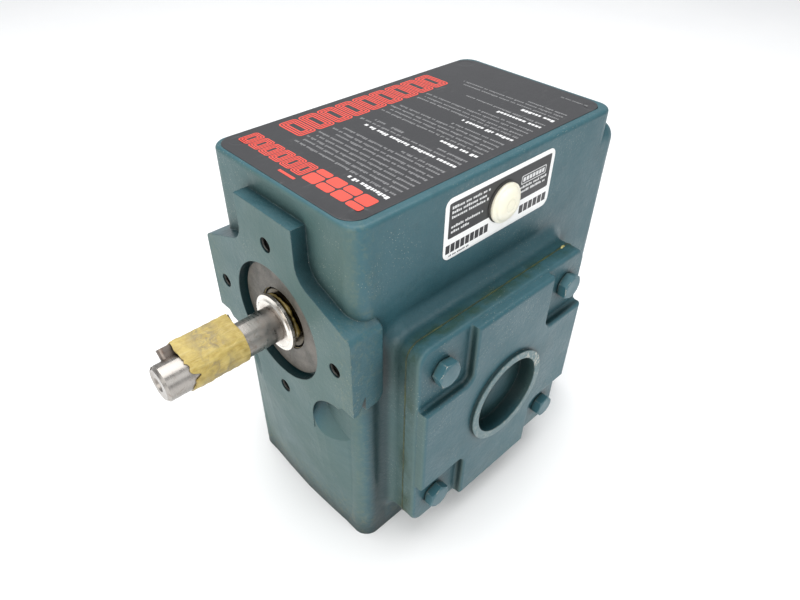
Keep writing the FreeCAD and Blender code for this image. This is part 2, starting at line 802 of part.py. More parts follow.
def snap_ring(node, start, stop, inner, outer):
    """A retaining ring with a gap at its top."""
    body = new_body(node, AT_WORM)
    profile = new_sketch(body, ALONG_X)
    outline(profile, [(start, inner), (stop, inner), (stop, outer), (start, outer)])
    turned(body, profile)
    gap = new_sketch(body, ALONG_Y, start + " - 1")
    reach = f"({outer}) + 2"
    outline(gap, [("-6", "0"), ("6", "0"), ("6", reach), ("-6", reach)])
    pocket(body, gap, "4", back=True)
    return keep(body, node)


turned_piece("seal_carrier", [("-carrier_face", "21"), ("2 - carrier_face", "21"),
                              ("2 - carrier_face", "27.6"), ("-97", "27.6"), ("-97", "input_bore - 0.03"),
                              ("-register_floor - 0.02", "input_bore - 0.03"),
                              ("-register_floor - 0.02", "carrier_radius"),
                              ("-carrier_face", "carrier_radius")], ALONG_X, AT_WORM)
turned_piece("input_seal", [("-102.4", "20.6"), ("-102.4", "27.58"), ("-97", "27.58"),
                            ("-97", "sleeve_radius + 0.08"), ("-98.6", "sleeve_radius + 0.06"),
                            ("-99.6", "20.6")], ALONG_X, AT_WORM)
turned_piece("cap_rear", [("129.2", "0"), ("129.2", "rear_bore - 0.03"), ("133.1", "rear_bore - 0.03"),
                          ("133.1", "rear_bore - 4"), ("131.4", "rear_bore - 6"), ("131.4", "0")],
             ALONG_X, AT_WORM)
snap_ring("ring_rear", "133.25", "134.75", "rear_bore - 2.4", "rear_bore + 1.5")


# ---------------------------------------------------------------- output line

def make_output_shaft():
    """Output shaft with wheel seat, shoulder, bearing seats and free end."""
    body = new_body("output_shaft", AT_OUTPUT)
    profile = new_sketch(body, ALONG_Y)
    outline(profile, [("-79", "0"), ("-79", "seat_radius - 1"), ("-78", "seat_radius"),
                      ("-20", "seat_radius"), ("-20", "hub_seat"), ("20.1", "hub_seat"), ("20.1", "25"),
                      ("30", "25"), ("30", "seat_radius"), ("79.4", "seat_radius"), ("79.4", "18"),
                      ("99", "18"), ("99", "output_radius"), ("output_end - 2", "output_radius"),
                      ("output_end", "output_radius - 2"), ("output_end", "0")])
    turned(body, profile)
    centre = new_sketch(body, ALONG_Y)
    outline(centre, [("output_end + 1", "0"), ("output_end + 1", "6.5"), ("output_end - 5", "2.5"),
                     ("output_end - 12", "2.5"), ("output_end - 13.5", "0")])
    turned(body, centre, cut=True)
    inner = new_sketch(body, "XY_Plane", "17")
    outline(inner, [("-5", "-18"), ("5", "-18"), ("5", "18"), ("-5", "18")])
    pocket(body, inner, "8", back=True)
    outer = new_sketch(body, "XY_Plane", "12.7")
    rounded(outer, "-4.7625", "4.7625", "108", "output_end - 6", "4.7")
    pocket(body, outer, "8", back=True)
    return keep(body, "output_shaft")


def flat_key(node, half, low_y, high_y, low_z, high_z, bend):
    body = new_body(node, AT_OUTPUT)
    bar = new_sketch(body, "XY_Plane", low_z)
    rounded(bar, "-" + half, half, low_y, high_y, bend)
    pad(body, bar, f"({high_z}) - ({low_z})")
    return keep(body, node)


def make_wheel_hub():
    body = new_body("wheel_hub", AT_OUTPUT)
    profile = new_sketch(body, ALONG_Y)
    outline(profile, [("-20", "hub_seat + 0.02"), ("20", "hub_seat + 0.02"), ("20", "29"), ("8", "30.5"),
                      ("8", "38"), ("-8", "38"), ("-8", "30.5"), ("-20", "29")])
    turned(body, profile)
    slot = new_sketch(body, "XY_Plane", "18")
    outline(slot, [("-5", "-21"), ("5", "-21"), ("5", "21"), ("-5", "21")])
    pocket(body, slot, "6.6", back=True)
    return keep(body, "wheel_hub")


def make_wheel_rim():
    """Bronze rim whose tooth gaps follow the thread's slope; one gap stands straight above the axis."""
    body = new_body("wheel_rim", AT_OUTPUT)
    profile = new_sketch(body, ALONG_Y)
    outline(profile, [("-wheel_half", "40"), ("-8", "40"), ("-8", "38.02"), ("8", "38.02"), ("8", "40"),
                      ("wheel_half", "40"), ("wheel_half", "wheel_tip - 1"), ("wheel_half - 1", "wheel_tip"),
                      ("1 - wheel_half", "wheel_tip"), ("-wheel_half", "wheel_tip - 1")])
    turned(body, profile)
    pitch_radius = number("module * wheel_teeth / 2")
    middle = number("centre_distance") - pitch_radius
    slope = math.pi * number("module") / (2 * math.pi * middle)
    reach = number("wheel_half") + 1
    twist = math.degrees(reach * slope / pitch_radius)
    half_gap = number("3.14159265 * module / 4 + flank_gap")
    lean = math.tan(math.radians(20))
    low, high = number("wheel_root"), number("wheel_tip") + 1
    narrow = half_gap - (pitch_radius - low) * lean
    wide = half_gap + (high - pitch_radius) * lean
    gaps = []
    for side in (-1, 1):
        gap = new_sketch(body, ALONG_X, str(-side * reach))
        corners = []
        for u, v in ((-narrow, low), (narrow, low), (wide, high), (-wide, high)):
            angle = math.radians(side * twist)
            corners.append((f"{u * math.cos(angle) + v * math.sin(angle):.5f}",
                            f"{v * math.cos(angle) - u * math.sin(angle):.5f}"))
        outline(gap, corners)
        gaps.append(gap)
    tooth_gap = body.newObject("PartDesign::SubtractiveLoft", "Gap")
    tooth_gap.Profile = gaps[0]
    tooth_gap.Sections = [gaps[1]]
    doc.recompute()
    pattern = body.newObject("PartDesign::PolarPattern", "Gaps")
    pattern.Originals = [tooth_gap]
    axis = next(item for item in body.Origin.OriginFeatures if item.Role == "Y_Axis")
    pattern.Axis = (axis, [""])
    pattern.Angle = 360
    bind(pattern, "Occurrences", "wheel_teeth")
    body.Tip = pattern
    doc.recompute()
    return keep(body, "wheel_rim")


make_output_shaft()
make_wheel_hub()
make_wheel_rim()
flat_key("wheel_key", "4.98", "-17.9", "17.9", "17.02", "24.5", "1")
ring_piece("spacer_blind", ALONG_Y, AT_OUTPUT, "-58.9", "-20.1", "seat_radius + 0.02", "25")
ring_piece("spacer_output", ALONG_Y, AT_OUTPUT, "30.1", "58.9", "seat_radius + 0.02", "25")
turned_piece("output_seal", [("85", "18.05"), ("86.5", "18.05"), ("88", "20.5"), ("94.5", "20.5"),
                             ("94.5", "29.97"), ("85", "29.97")], ALONG_Y, AT_OUTPUT)


# ---------------------------------------------------------------- small parts on and in the housing

def make_plugs():
    """Three oil plugs with square sockets, in the rear wall."""
    links = []
    for u, v in plug_places():
        body = new_body("plug")
        barrel = new_sketch(body, ALONG_Y, "rear_wall - wall + 0.5")
        circle(barrel, u, v, "8.3")
        pad(body, barrel, "wall + 1.5")
        socket = new_sketch(body, ALONG_Y, "rear_wall + 2")
        outline(socket, [(f"{u} - 3.5", f"{v} - 3.5"), (f"{u} + 3.5", f"{v} - 3.5"),
                         (f"{u} + 3.5", f"{v} + 3.5"), (f"{u} - 3.5", f"{v} + 3.5")])
        pocket(body, socket, "6")
        links.append(body)
    group = doc.addObject("Part::Compound", "plugs")
    group.Links = links
    return keep(group, "plugs")


def make_bladder():
    """A soft bag in the air chamber, which takes up the oil's expansion."""
    body = new_body("bladder")
    bag = new_sketch(body, "XY_Plane", "web_top + 4")
    rounded(bag, "-76", "98", "-44", "44", "16")
    pad(body, bag, "34")
    round_edges(body, "9", lambda edge: level(edge, "z", "web_top + 4") or level(edge, "z", "web_top + 38"))
    return keep(body, "bladder")


def make_vent_tube():
    """The short tube between the bladder and the button, through the side wall."""
    body = new_body("vent_tube", (0, 0, "button_height"))
    ends_at = "half_width + 0.35"
    tube = new_sketch(body, ALONG_X, ends_at)
    circle(tube, "button_place", "0", "4")
    circle(tube, "button_place", "0", "2.4")
    pad(body, tube, ends_at + " - 44.05", back=True)
    return keep(body, "vent_tube")


def make_vent_button():
    """A low domed button with a stepped skirt."""
    body = new_body("vent_button", ("button_place", 0, "button_height"))
    face = "-half_width - 0.4"
    profile = new_sketch(body, ALONG_Y)
    outline(profile, [(face, "0"), (face, "button_radius"), (face + " - 3.2", "button_radius"),
                      (face + " - 4.4", "button_radius - 1.2"), (face + " - 6", "button_radius - 5.5"),
                      (face + " - 6.3", "0")])
    turned(body, profile)
    return keep(body, "vent_button")


def make_deck_plate():
    body = new_body("deck_plate")
    plate = new_sketch(body, "XY_Plane", "deck_height + 0.02")
    rounded(plate, "deck_edge - front_wall", "deck_rear - deck_edge - 1.6", "6 - half_width",
            "half_width - deck_edge", "corner_radius + 0.5")
    pad(body, plate, "0.35")
    return keep(body, "deck_plate")


def make_side_label():
    body = new_body("side_label", (0, 0, "label_height"))
    label = new_sketch(body, ALONG_X, "half_width + 0.02")
    rounded(label, "label_centre - label_half", "label_centre + label_half",
            "-label_half_height", "label_half_height", "5")
    circle(label, "button_place", "button_height - label_height", "5")
    pad(body, label, "0.3")
    return keep(body, "side_label")


make_plugs()
make_bladder()
make_vent_tube()
make_vent_button()
make_deck_plate()
make_side_label()


# ---------------------------------------------------------------- check and write

doc.recompute()
for thing in doc.Objects:
    if any(word in thing.State for word in ("Invalid", "Error")):
        raise RuntimeError("failed to build: " + thing.Name)
os.makedirs("parts", exist_ok=True)
for thing in NODES:
    if thing.Shape.isNull() or not thing.Shape.isValid():
        raise RuntimeError("no valid shape: " + thing.Label)
    thing.Shape.exportStep(f"parts/{thing.Label}.step")
print(len(NODES), "nodes written")
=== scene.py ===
"""Looks of the worm gearbox: painted casting, films, taped input shaft and studio."""

import math
import random

import bmesh
import bpy
from mathutils import Matrix, Vector, noise


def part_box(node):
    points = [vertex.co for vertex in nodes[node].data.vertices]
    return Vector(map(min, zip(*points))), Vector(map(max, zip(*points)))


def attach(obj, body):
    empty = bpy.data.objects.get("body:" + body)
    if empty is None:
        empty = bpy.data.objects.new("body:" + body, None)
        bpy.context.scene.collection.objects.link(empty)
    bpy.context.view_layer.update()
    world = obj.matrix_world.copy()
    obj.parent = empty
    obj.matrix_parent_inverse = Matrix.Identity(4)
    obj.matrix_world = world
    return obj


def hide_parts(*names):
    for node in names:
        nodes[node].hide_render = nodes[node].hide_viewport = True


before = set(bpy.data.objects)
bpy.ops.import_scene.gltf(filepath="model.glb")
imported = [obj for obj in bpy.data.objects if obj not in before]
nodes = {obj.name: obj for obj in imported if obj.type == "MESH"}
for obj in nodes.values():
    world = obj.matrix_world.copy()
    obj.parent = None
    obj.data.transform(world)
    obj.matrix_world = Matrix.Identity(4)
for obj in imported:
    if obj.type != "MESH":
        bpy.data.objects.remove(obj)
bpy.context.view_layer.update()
MM = 0.001


# ---------------------------------------------------------------- places taken from the CAD

def lows_and_highs(node):
    """A node's lowest and highest corners in millimetres."""
    low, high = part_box(node)
    return [value / MM for value in low], [value / MM for value in high]


HOUSING_LOW = lows_and_highs("housing")[0]
COVER_LOW, COVER_HIGH = lows_and_highs("cover_blind")
PLATE_LOW, PLATE_HIGH = lows_and_highs("deck_plate")
LABEL_LOW, LABEL_HIGH = lows_and_highs("side_label")
BUTTON_LOW, BUTTON_HIGH = lows_and_highs("vent_button")
SLEEVE_LOW, SLEEVE_HIGH = lows_and_highs("seal_sleeve")
TAPE_LOW, TAPE_HIGH = lows_and_highs("key_tape")

WORM_Z = (SLEEVE_LOW[2] + SLEEVE_HIGH[2]) / 2
OUTPUT_Z = (COVER_LOW[2] + COVER_HIGH[2]) / 2
FLANGE_X = HOUSING_LOW[0]
BOLT_PLACE = 59.5
COVER_FACE = 90.7
PAD_HALF = 78.6
PAD_HALF_HEIGHT = 81
PAD_ROUND = 10
JOINT_PLACE = 80.3
HOLE_CIRCLE = 55.5625
HOLE_RADIUS = 4.7


# ---------------------------------------------------------------- mesh helpers (millimetres in, metres out)

def finish_mesh(name, bm, material, body="body", smooth=True, angle=35):
    """Turn a bmesh in millimetres into a piece that rides on a body."""
    bmesh.ops.remove_doubles(bm, verts=bm.verts, dist=1e-5)
    bmesh.ops.recalc_face_normals(bm, faces=bm.faces)
    mesh = bpy.data.meshes.new(name)
    bmesh.ops.scale(bm, vec=(MM, MM, MM), verts=bm.verts)
    bm.to_mesh(mesh)
    bm.free()
    mesh.materials.append(material)
    piece = bpy.data.objects.new(name, mesh)
    bpy.context.scene.collection.objects.link(piece)
    if smooth:
        mesh.shade_smooth()
        mesh.set_sharp_from_angle(angle=math.radians(angle))
    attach(piece, body)
    return piece


def loft(bm, rings, closed=True, cap_first=False, cap_last=False):
    """Skin a list of point rings; returns the rings of vertices."""
    made = [[bm.verts.new(point) for point in ring] for ring in rings]
    count = len(rings[0])
    for lower, upper in zip(made, made[1:]):
        for index in range(count if closed else count - 1):
            after = (index + 1) % count
            bm.faces.new((lower[index], lower[after], upper[after], upper[index]))
    if cap_first:
        bm.faces.new(list(reversed(made[0])))
    if cap_last:
        bm.faces.new(made[-1])
    return made


def box_at(bm, low, high, frame_of=None):
    """A closed box between two corners, moved by a matrix when one is given."""
    made = bmesh.ops.create_cube(bm, size=1.0)["verts"]
    middle = [(a + b) / 2 for a, b in zip(low, high)]
    size = [b - a for a, b in zip(low, high)]
    bmesh.ops.scale(bm, vec=size, verts=made)
    bmesh.ops.translate(bm, vec=middle, verts=made)
    if frame_of:
        bmesh.ops.transform(bm, matrix=frame_of, verts=made)
    return made


def rounded_outline(low_u, high_u, low_v, high_v, bend, per_corner=8, along=6):
    """Points round a rectangle with round corners, anticlockwise."""
    corners = [(high_u - bend, high_v - bend, 0), (low_u + bend, high_v - bend, 90),
               (low_u + bend, low_v + bend, 180), (high_u - bend, low_v + bend, 270)]
    arcs = []
    for u, v, start in corners:
        arcs.append([(u + bend * math.cos(math.radians(start + 90 * step / per_corner)),
                      v + bend * math.sin(math.radians(start + 90 * step / per_corner)))
                     for step in range(per_corner + 1)])
    points = []
    for index, arc in enumerate(arcs):
        points += arc
        end, start = arc[-1], arcs[(index + 1) % 4][0]
        for step in range(1, along):
            share = step / along
            points.append((end[0] + (start[0] - end[0]) * share, end[1] + (start[1] - end[1]) * share))
    return points


def turned_rings(profile, centre, axis, steps=64, wobble=None):
    """Rings of points for a profile of (along, radius) turned about an axis, 'x' or 'y'."""
    rings = []
    for along, radius in profile:
        ring = []
        for step in range(steps):
            angle = 2 * math.pi * step / steps
            reach = radius + (wobble(along, radius, angle) if wobble else 0)
            first, second = reach * math.cos(angle), reach * math.sin(angle)
            if axis == "x":
                ring.append((centre[0] + along, centre[1] + first, centre[2] + second))
            else:
                ring.append((centre[0] + first, centre[1] + along, centre[2] + second))
        rings.append(ring)
    return rings


# ---------------------------------------------------------------- material helpers

class Recipe:
    """A node material written as short lines: each call adds a node and gives its output."""

    def __init__(self, name):
        self.material = bpy.data.materials.new(name)
        self.material.use_nodes = True
        self.tree = self.material.node_tree
        self.tree.nodes.clear()
        self.out = self.tree.nodes.new("ShaderNodeOutputMaterial")
        self.shader = self.tree.nodes.new("ShaderNodeBsdfPrincipled")
        self.tree.links.new(self.shader.outputs[0], self.out.inputs["Surface"])
        coords = self.tree.nodes.new("ShaderNodeTexCoord")
        self.place = coords.outputs["Object"]

    def put(self, socket, value):
        """Link a socket to another, or set its value."""
        if isinstance(value, bpy.types.NodeSocket):
            self.tree.links.new(value, socket)
        elif isinstance(value, (tuple, list)) and len(value) == 3 and socket.type == "RGBA":
            socket.default_value = (*value, 1)
        else:
            socket.default_value = value

    def set(self, **values):
        """Fill the shader's inputs by name."""
        for name, value in values.items():
            self.put(self.shader.inputs[name.replace("_", " ")], value)

    def noise(self, scale, detail=4.0, rough=0.55, stretch=None, distort=0.0):
        node = self.tree.nodes.new("ShaderNodeTexNoise")
        node.inputs["Scale"].default_value = scale
        node.inputs["Detail"].default_value = detail
        node.inputs["Roughness"].default_value = rough
        node.inputs["Distortion"].default_value = distort
        self.put(node.inputs["Vector"], self.stretched(stretch))
        return node.outputs["Fac"]

    def stretched(self, stretch):
        """Coordinates scaled along each axis."""
        if not stretch:
            return self.place
        node = self.tree.nodes.new("ShaderNodeMapping")
        node.inputs["Scale"].default_value = stretch
        self.put(node.inputs["Vector"], self.place)
        return node.outputs[0]

    def cells(self, scale):
        """Distance to the nearest of many scattered points."""
        node = self.tree.nodes.new("ShaderNodeTexVoronoi")
        node.inputs["Scale"].default_value = scale
        self.put(node.inputs["Vector"], self.place)
        return node.outputs["Distance"]

    def ramp(self, factor, low, high, bottom=0.0, top=1.0):
        """A smooth step from bottom to top as the factor goes from low to high."""
        node = self.tree.nodes.new("ShaderNodeMapRange")
        node.interpolation_type = "SMOOTHSTEP"
        self.put(node.inputs["Value"], factor)
        node.inputs["From Min"].default_value = low
        node.inputs["From Max"].default_value = high
        node.inputs["To Min"].default_value = bottom
        node.inputs["To Max"].default_value = top
        return node.outputs["Result"]

    def math(self, operation, first, second=0.0):
        node = self.tree.nodes.new("ShaderNodeMath")
        node.operation = operation
        self.put(node.inputs[0], first)
        self.put(node.inputs[1], second)
        return node.outputs[0]

    def times(self, first, *others):
        """The product of two or more factors."""
        for other in others:
            first = self.math("MULTIPLY", first, other)
        return first

    def size(self, value):
        """A value without its sign."""
        return self.math("ABSOLUTE", value)

    def mix(self, factor, first, second):
        node = self.tree.nodes.new("ShaderNodeMix")
        node.data_type = "RGBA"
        self.put(node.inputs[0], factor)
        self.put(node.inputs[6], first)
        self.put(node.inputs[7], second)
        return node.outputs[2]

    def axes(self, place=None):
        node = self.tree.nodes.new("ShaderNodeSeparateXYZ")
        self.put(node.inputs[0], place or self.place)
        return node.outputs

    def normal_axes(self):
        node = self.tree.nodes.new("ShaderNodeNewGeometry")
        return self.axes(node.outputs["Normal"])

    def bevel(self, radius, samples=4):
        node = self.tree.nodes.new("ShaderNodeBevel")
        node.samples = samples
        node.inputs["Radius"].default_value = radius
        return node.outputs[0]

    def edges(self, radius, low=0.02, high=0.3):
        """How near a sharp edge is: the rounded normal against the plain one."""
        rounded_normal = self.bevel(radius)
        plain = self.tree.nodes.new("ShaderNodeNewGeometry").outputs["Normal"]
        node = self.tree.nodes.new("ShaderNodeVectorMath")
        node.operation = "DOT_PRODUCT"
        self.put(node.inputs[0], rounded_normal)
        self.put(node.inputs[1], plain)
        return self.ramp(self.math("SUBTRACT", 1.0, node.outputs["Value"]), low, high)

    def pocket_shade(self, reach, samples=4):
        """How enclosed a point is, for painted shade in hollows."""
        node = self.tree.nodes.new("ShaderNodeAmbientOcclusion")
        node.samples = samples
        node.inputs["Distance"].default_value = reach
        return node.outputs["AO"]

    def bump(self, height, strength, distance, normal=None):
        node = self.tree.nodes.new("ShaderNodeBump")
        node.inputs["Strength"].default_value = strength
        node.inputs["Distance"].default_value = distance
        self.put(node.inputs["Height"], height)
        if normal is not None:
            self.put(node.inputs["Normal"], normal)
        return node.outputs[0]


# Dark teal for painted shade in hollows and beside the pads.
PAINTED_SHADE_TEAL = (0.003, 0.017, 0.019)


def paint_material(name, base, light, dark):
    """Enamel over a sand casting: mottled, dusty, chipped along edges, green-stained by the joints; painted
    shade in its hollows, beside the pads and in the round pocket, and a painted sheen with dull paint on the
    faces turned to -X.
    """
    r = Recipe(name)
    x, y, z = r.axes()
    normal_x, normal_y, _ = r.normal_axes()
    along, across, facing = r.size(x), r.size(y), r.size(normal_y)
    colour = r.mix(r.ramp(r.noise(7, 5), 0.35, 0.68), base, light)
    colour = r.mix(r.ramp(r.noise(45, 6, 0.7), 0.45, 0.75, 0, 0.5), colour, dark)
    # Faces turned towards -X drawn greyer and duller: painted sheen of the key light, partly dull paint.
    front_sheen_and_dull = r.times(r.ramp(normal_x, -0.45, -0.95), r.ramp(r.noise(16, 5, 0.6), 0.2, 0.75, 0.55, 1.0))
    colour = r.mix(r.times(front_sheen_and_dull, 0.75), colour, (0.078, 0.126, 0.108))
    grain = r.ramp(r.noise(520, 5, 0.75), 0.36, 0.64)
    colour = r.mix(r.times(grain, 0.13), colour, (0.08, 0.15, 0.15))
    joint = r.ramp(r.size(r.math("SUBTRACT", across, 0.0815)), 0.002, 0.009, 1.0, 0.0)
    joint = r.times(joint, r.ramp(r.noise(42, 6, 0.75), 0.36, 0.66))
    colour = r.mix(r.times(joint, 0.8), colour, (0.014, 0.040, 0.010))
    low_dirt = r.times(r.ramp(z, 0.0, 0.05, 1.0, 0.0), r.ramp(r.noise(240, 6, 0.75), 0.47, 0.66))
    colour = r.mix(r.times(low_dirt, 0.5), colour, (0.24, 0.22, 0.10))
    corner = r.times(r.ramp(x, -0.078, -0.094), r.ramp(across, 0.05, 0.064),
                     r.ramp(r.noise(300, 6, 0.75), 0.48, 0.62))
    colour = r.mix(r.times(corner, 0.18), colour, (0.18, 0.20, 0.11))
    specks = r.times(r.ramp(r.cells(620), 0.10, 0.22, 1.0, 0.0), r.ramp(r.noise(24, 3), 0.47, 0.62))
    colour = r.mix(r.times(specks, 0.5), colour, (0.42, 0.44, 0.38))
    # Painted shade in pockets, in the valleys beside the pads and within the covers' rims.
    hollow_shade = r.ramp(r.pocket_shade(0.034, 8), 0.42, 0.98, 1.0, 0.0)
    colour = r.mix(r.times(hollow_shade, 0.92), colour, PAINTED_SHADE_TEAL)
    valley_shade = r.times(r.ramp(across, 0.0745, 0.066), r.ramp(z, 0.186, 0.172), r.ramp(along, 0.0785, 0.082),
                     r.ramp(along, 0.097, 0.088), r.ramp(facing, 0.0, 0.2, 0.7, 1.0))
    colour = r.mix(r.times(valley_shade, 0.72), colour, PAINTED_SHADE_TEAL)
    # Rubbed and chipped edges.
    edge = r.edges(0.0008)
    rubbed = r.times(edge, r.ramp(r.noise(70, 5, 0.7), 0.40, 0.64))
    colour = r.mix(r.times(rubbed, 0.35), colour, (0.20, 0.30, 0.30))
    chips = r.times(edge, r.ramp(r.noise(240, 5, 0.8), 0.60, 0.635))
    away = r.math("SQRT", r.math("ADD", r.times(x, x),
                                 r.math("POWER", r.math("SUBTRACT", z, OUTPUT_Z * MM), 2.0)))
    # Painted shade in the output cover's round pocket, darkest on its walls.
    recess_shade = r.times(r.ramp(away, 0.0297, 0.0290), r.ramp(across, 0.0985, 0.0925),
                     r.ramp(facing, 0.8, 0.3, 0.45, 1.0), r.ramp(across, 0.080, 0.084))
    colour = r.mix(r.times(recess_shade, 0.85), colour, (0.003, 0.015, 0.016))
    rim = r.times(r.ramp(away, 0.0282, 0.0295), r.ramp(away, 0.0362, 0.0350), r.ramp(across, 0.0985, 0.0991))
    rim_side = r.times(r.ramp(x, 0.004, 0.02), r.ramp(z, 0.105, 0.125))
    rim_chips = r.times(rim, r.ramp(r.noise(330, 5, 0.75), 0.52, 0.58), r.ramp(rim_side, 0.0, 1.0, 0.25, 1.0))
    colour = r.mix(r.times(rim, 0.4), colour, (0.17, 0.25, 0.25))
    chips = r.math("MAXIMUM", chips, rim_chips)
    colour = r.mix(chips, colour, (0.45, 0.44, 0.38))
    normal = r.bump(r.noise(150, 5, 0.62), 0.5, 0.0009, r.bevel(0.0011))
    normal = r.bump(r.noise(700, 4, 0.65), 0.35, 0.00035, normal)
    roughness = r.math("ADD", r.ramp(r.noise(30, 5), 0.3, 0.7, 0.32, 0.46), r.times(front_sheen_and_dull, 0.14))
    r.set(Base_Color=colour, Roughness=roughness, Normal=normal, Metallic=r.times(chips, 0.4))
    r.shader.inputs["Specular IOR Level"].default_value = 0.36
    r.shader.inputs["Coat Weight"].default_value = 0.06
    r.shader.inputs["Coat Roughness"].default_value = 0.25
    return r.material


def metal_material(name, tone, dirt_and_shade, rough=(0.18, 0.38), brush=(1, 1, 1), dirt_share=(0.52, 0.72),
                   stain=None, bump=0.08, oily_shade_behind=None):
    """Turned or ground steel with brushed streaks, finger stains, grimy patches and painted shade in its
    corners, and, when asked, oil with painted shade behind a given x.
    """
    r = Recipe(name)
    streaks = r.noise(160, 4, 0.6, stretch=brush)
    patches = r.noise(55, 5, 0.65)
    colour = r.mix(r.ramp(streaks, 0.35, 0.65), tuple(0.9 * value for value in tone), tone)
    colour = r.mix(r.ramp(patches, dirt_share[0], dirt_share[1], 0.0, 0.6), colour, dirt_and_shade)
    if stain:
        spots = r.ramp(r.noise(170, 5, 0.7, distort=0.6), 0.55, 0.68)
        colour = r.mix(r.times(spots, 0.4), colour, stain)
    # Painted shade in the steel's corners, in a darker version of the grime tone.
    hollow_shade = r.ramp(r.pocket_shade(0.006), 0.4, 0.95, 1.0, 0.0)
    colour = r.mix(r.times(hollow_shade, 0.75), colour, tuple(0.35 * value for value in dirt_and_shade))
    # Oil and painted shade: a dark oil brown on the steel behind the given x, where the sleeve runs into the
    # seal.
    if oily_shade_behind:
        oil_and_shade = r.ramp(r.axes()[0], oily_shade_behind, oily_shade_behind + 0.0004)
        colour = r.mix(r.times(oil_and_shade, 0.93), colour, (0.045, 0.032, 0.010))
    roughness = r.math("ADD", r.ramp(streaks, 0.3, 0.7, rough[0], rough[1]),
                       r.ramp(patches, 0.5, 0.75, 0.0, 0.18))
    normal = r.bump(streaks, bump, 0.0002, r.bevel(0.0003))
    metal = r.ramp(patches, 0.55, 0.8, 1.0, 0.55)
    r.set(Base_Color=colour, Roughness=roughness, Normal=normal, Metallic=metal)
    return r.material


def film_material(name, base, worn, rough=0.3, scratch=0.5):
    """Printed vinyl film: slight sheen, scuffs and dust."""
    r = Recipe(name)
    cloud = r.noise(26, 5, 0.6)
    fine = r.noise(420, 4, 0.65)
    scuff = r.times(r.ramp(r.noise(75, 6, 0.8, stretch=(1, 6, 1)), 0.56, 0.7), r.ramp(cloud, 0.45, 0.6))
    colour = r.mix(r.times(scuff, scratch), base, worn)
    dust = r.ramp(r.cells(700), 0.08, 0.16, 1.0, 0.0)
    dust = r.times(dust, r.ramp(r.noise(35, 3), 0.5, 0.62))
    colour = r.mix(r.times(dust, 0.5 * scratch), colour, worn)
    roughness = r.math("ADD", r.ramp(cloud, 0.35, 0.65, rough, rough + 0.12), r.times(scuff, 0.2))
    normal = r.bump(fine, 0.05, 0.0002)
    normal = r.bump(cloud, 0.12, 0.002, normal)
    r.set(Base_Color=colour, Roughness=roughness, Normal=normal)
    return r.material


def plain_material(name, first, second, rough, scale=60, bump=0.15, transmit=0.0):
    """A soft mottled finish for rubber, grease, plastic and the like."""
    r = Recipe(name)
    cloud = r.noise(scale, 5, 0.6)
    fine = r.noise(scale * 9, 4, 0.6)
    colour = r.mix(r.ramp(cloud, 0.35, 0.65), first, second)
    # Painted shade in hollows.
    hollow_shade = r.ramp(r.pocket_shade(0.004), 0.4, 0.95, 1.0, 0.0)
    colour = r.mix(r.times(hollow_shade, 0.45), colour, tuple(0.3 * value for value in first))
    r.set(Base_Color=colour, Roughness=r.ramp(fine, 0.3, 0.7, rough * 0.85, min(1.0, rough * 1.15)),
          Normal=r.bump(fine, bump, 0.0003))
    r.shader.inputs["Subsurface Weight"].default_value = transmit
    r.shader.inputs["Subsurface Radius"].default_value = (0.002, 0.0015, 0.001)
    return r.material


def tape_material():
    """Crepe masking tape: fine ridges along the shaft, fibres, oil-stained grey smudges in the middle."""
    r = Recipe("crepe_tape")
    x, y, z = r.axes()
    wrap = r.noise(900, 3, 0.5, stretch=(0.06, 1, 1))
    fibres = r.noise(260, 6, 0.75, stretch=(0.5, 1, 1), distort=0.8)
    colour = r.mix(r.ramp(fibres, 0.35, 0.66), (0.37, 0.26, 0.055), (0.50, 0.385, 0.115))
    colour = r.mix(r.ramp(wrap, 0.5, 0.7, 0.0, 0.4), colour, (0.56, 0.46, 0.20))
    middle = r.ramp(r.size(r.math("ADD", x, 0.1535)), 0.002, 0.013, 1.0, 0.0)
    smudge = r.times(middle, r.ramp(r.noise(105, 6, 0.7, distort=1.2), 0.42, 0.6))
    colour = r.mix(r.times(smudge, 0.8), colour, (0.20, 0.16, 0.09))
    spots = r.ramp(r.noise(340, 4, 0.7), 0.62, 0.72)
    colour = r.mix(r.times(spots, 0.5), colour, (0.33, 0.25, 0.10))
    # Painted shade in the tape's hollows.
    hollow_shade = r.ramp(r.pocket_shade(0.004), 0.4, 0.95, 1.0, 0.0)
    colour = r.mix(r.times(hollow_shade, 0.6), colour, (0.16, 0.11, 0.04))
    normal = r.bump(wrap, 0.55, 0.0003)
    normal = r.bump(fibres, 0.5, 0.0006, normal)
    r.set(Base_Color=colour, Roughness=r.ramp(fibres, 0.3, 0.7, 0.36, 0.6), Normal=normal)
    r.shader.inputs["Sheen Weight"].default_value = 0.15
    return r.material


PAINT = paint_material("teal_enamel", (0.026, 0.092, 0.116), (0.033, 0.108, 0.132), (0.018, 0.068, 0.084))
STEEL = metal_material("turned_steel", (0.39, 0.365, 0.34), (0.20, 0.15, 0.115), rough=(0.24, 0.36),
                       brush=(5, 0.5, 0.5), stain=(0.14, 0.09, 0.06), dirt_share=(0.55, 0.8), bump=0.02)
OUTPUT_STEEL = metal_material("output_steel", (0.56, 0.54, 0.51), (0.24, 0.17, 0.12), brush=(0.4, 6, 0.4),
                              stain=(0.20, 0.12, 0.08), dirt_share=(0.55, 0.75))
GROUND = metal_material("ground_sleeve", (0.84, 0.80, 0.74), (0.50, 0.34, 0.25), rough=(0.16, 0.28),
                        brush=(8, 0.3, 0.3), dirt_share=(0.58, 0.8), bump=0.02, oily_shade_behind=-0.1091)
DARK = metal_material("oily_dark_steel", (0.09, 0.088, 0.082), (0.04, 0.035, 0.03), rough=(0.35, 0.55),
                      bump=0.15)
DISC = plain_material("seal_disc", (0.068, 0.064, 0.053), (0.125, 0.112, 0.096), 0.5, scale=90, bump=0.25)
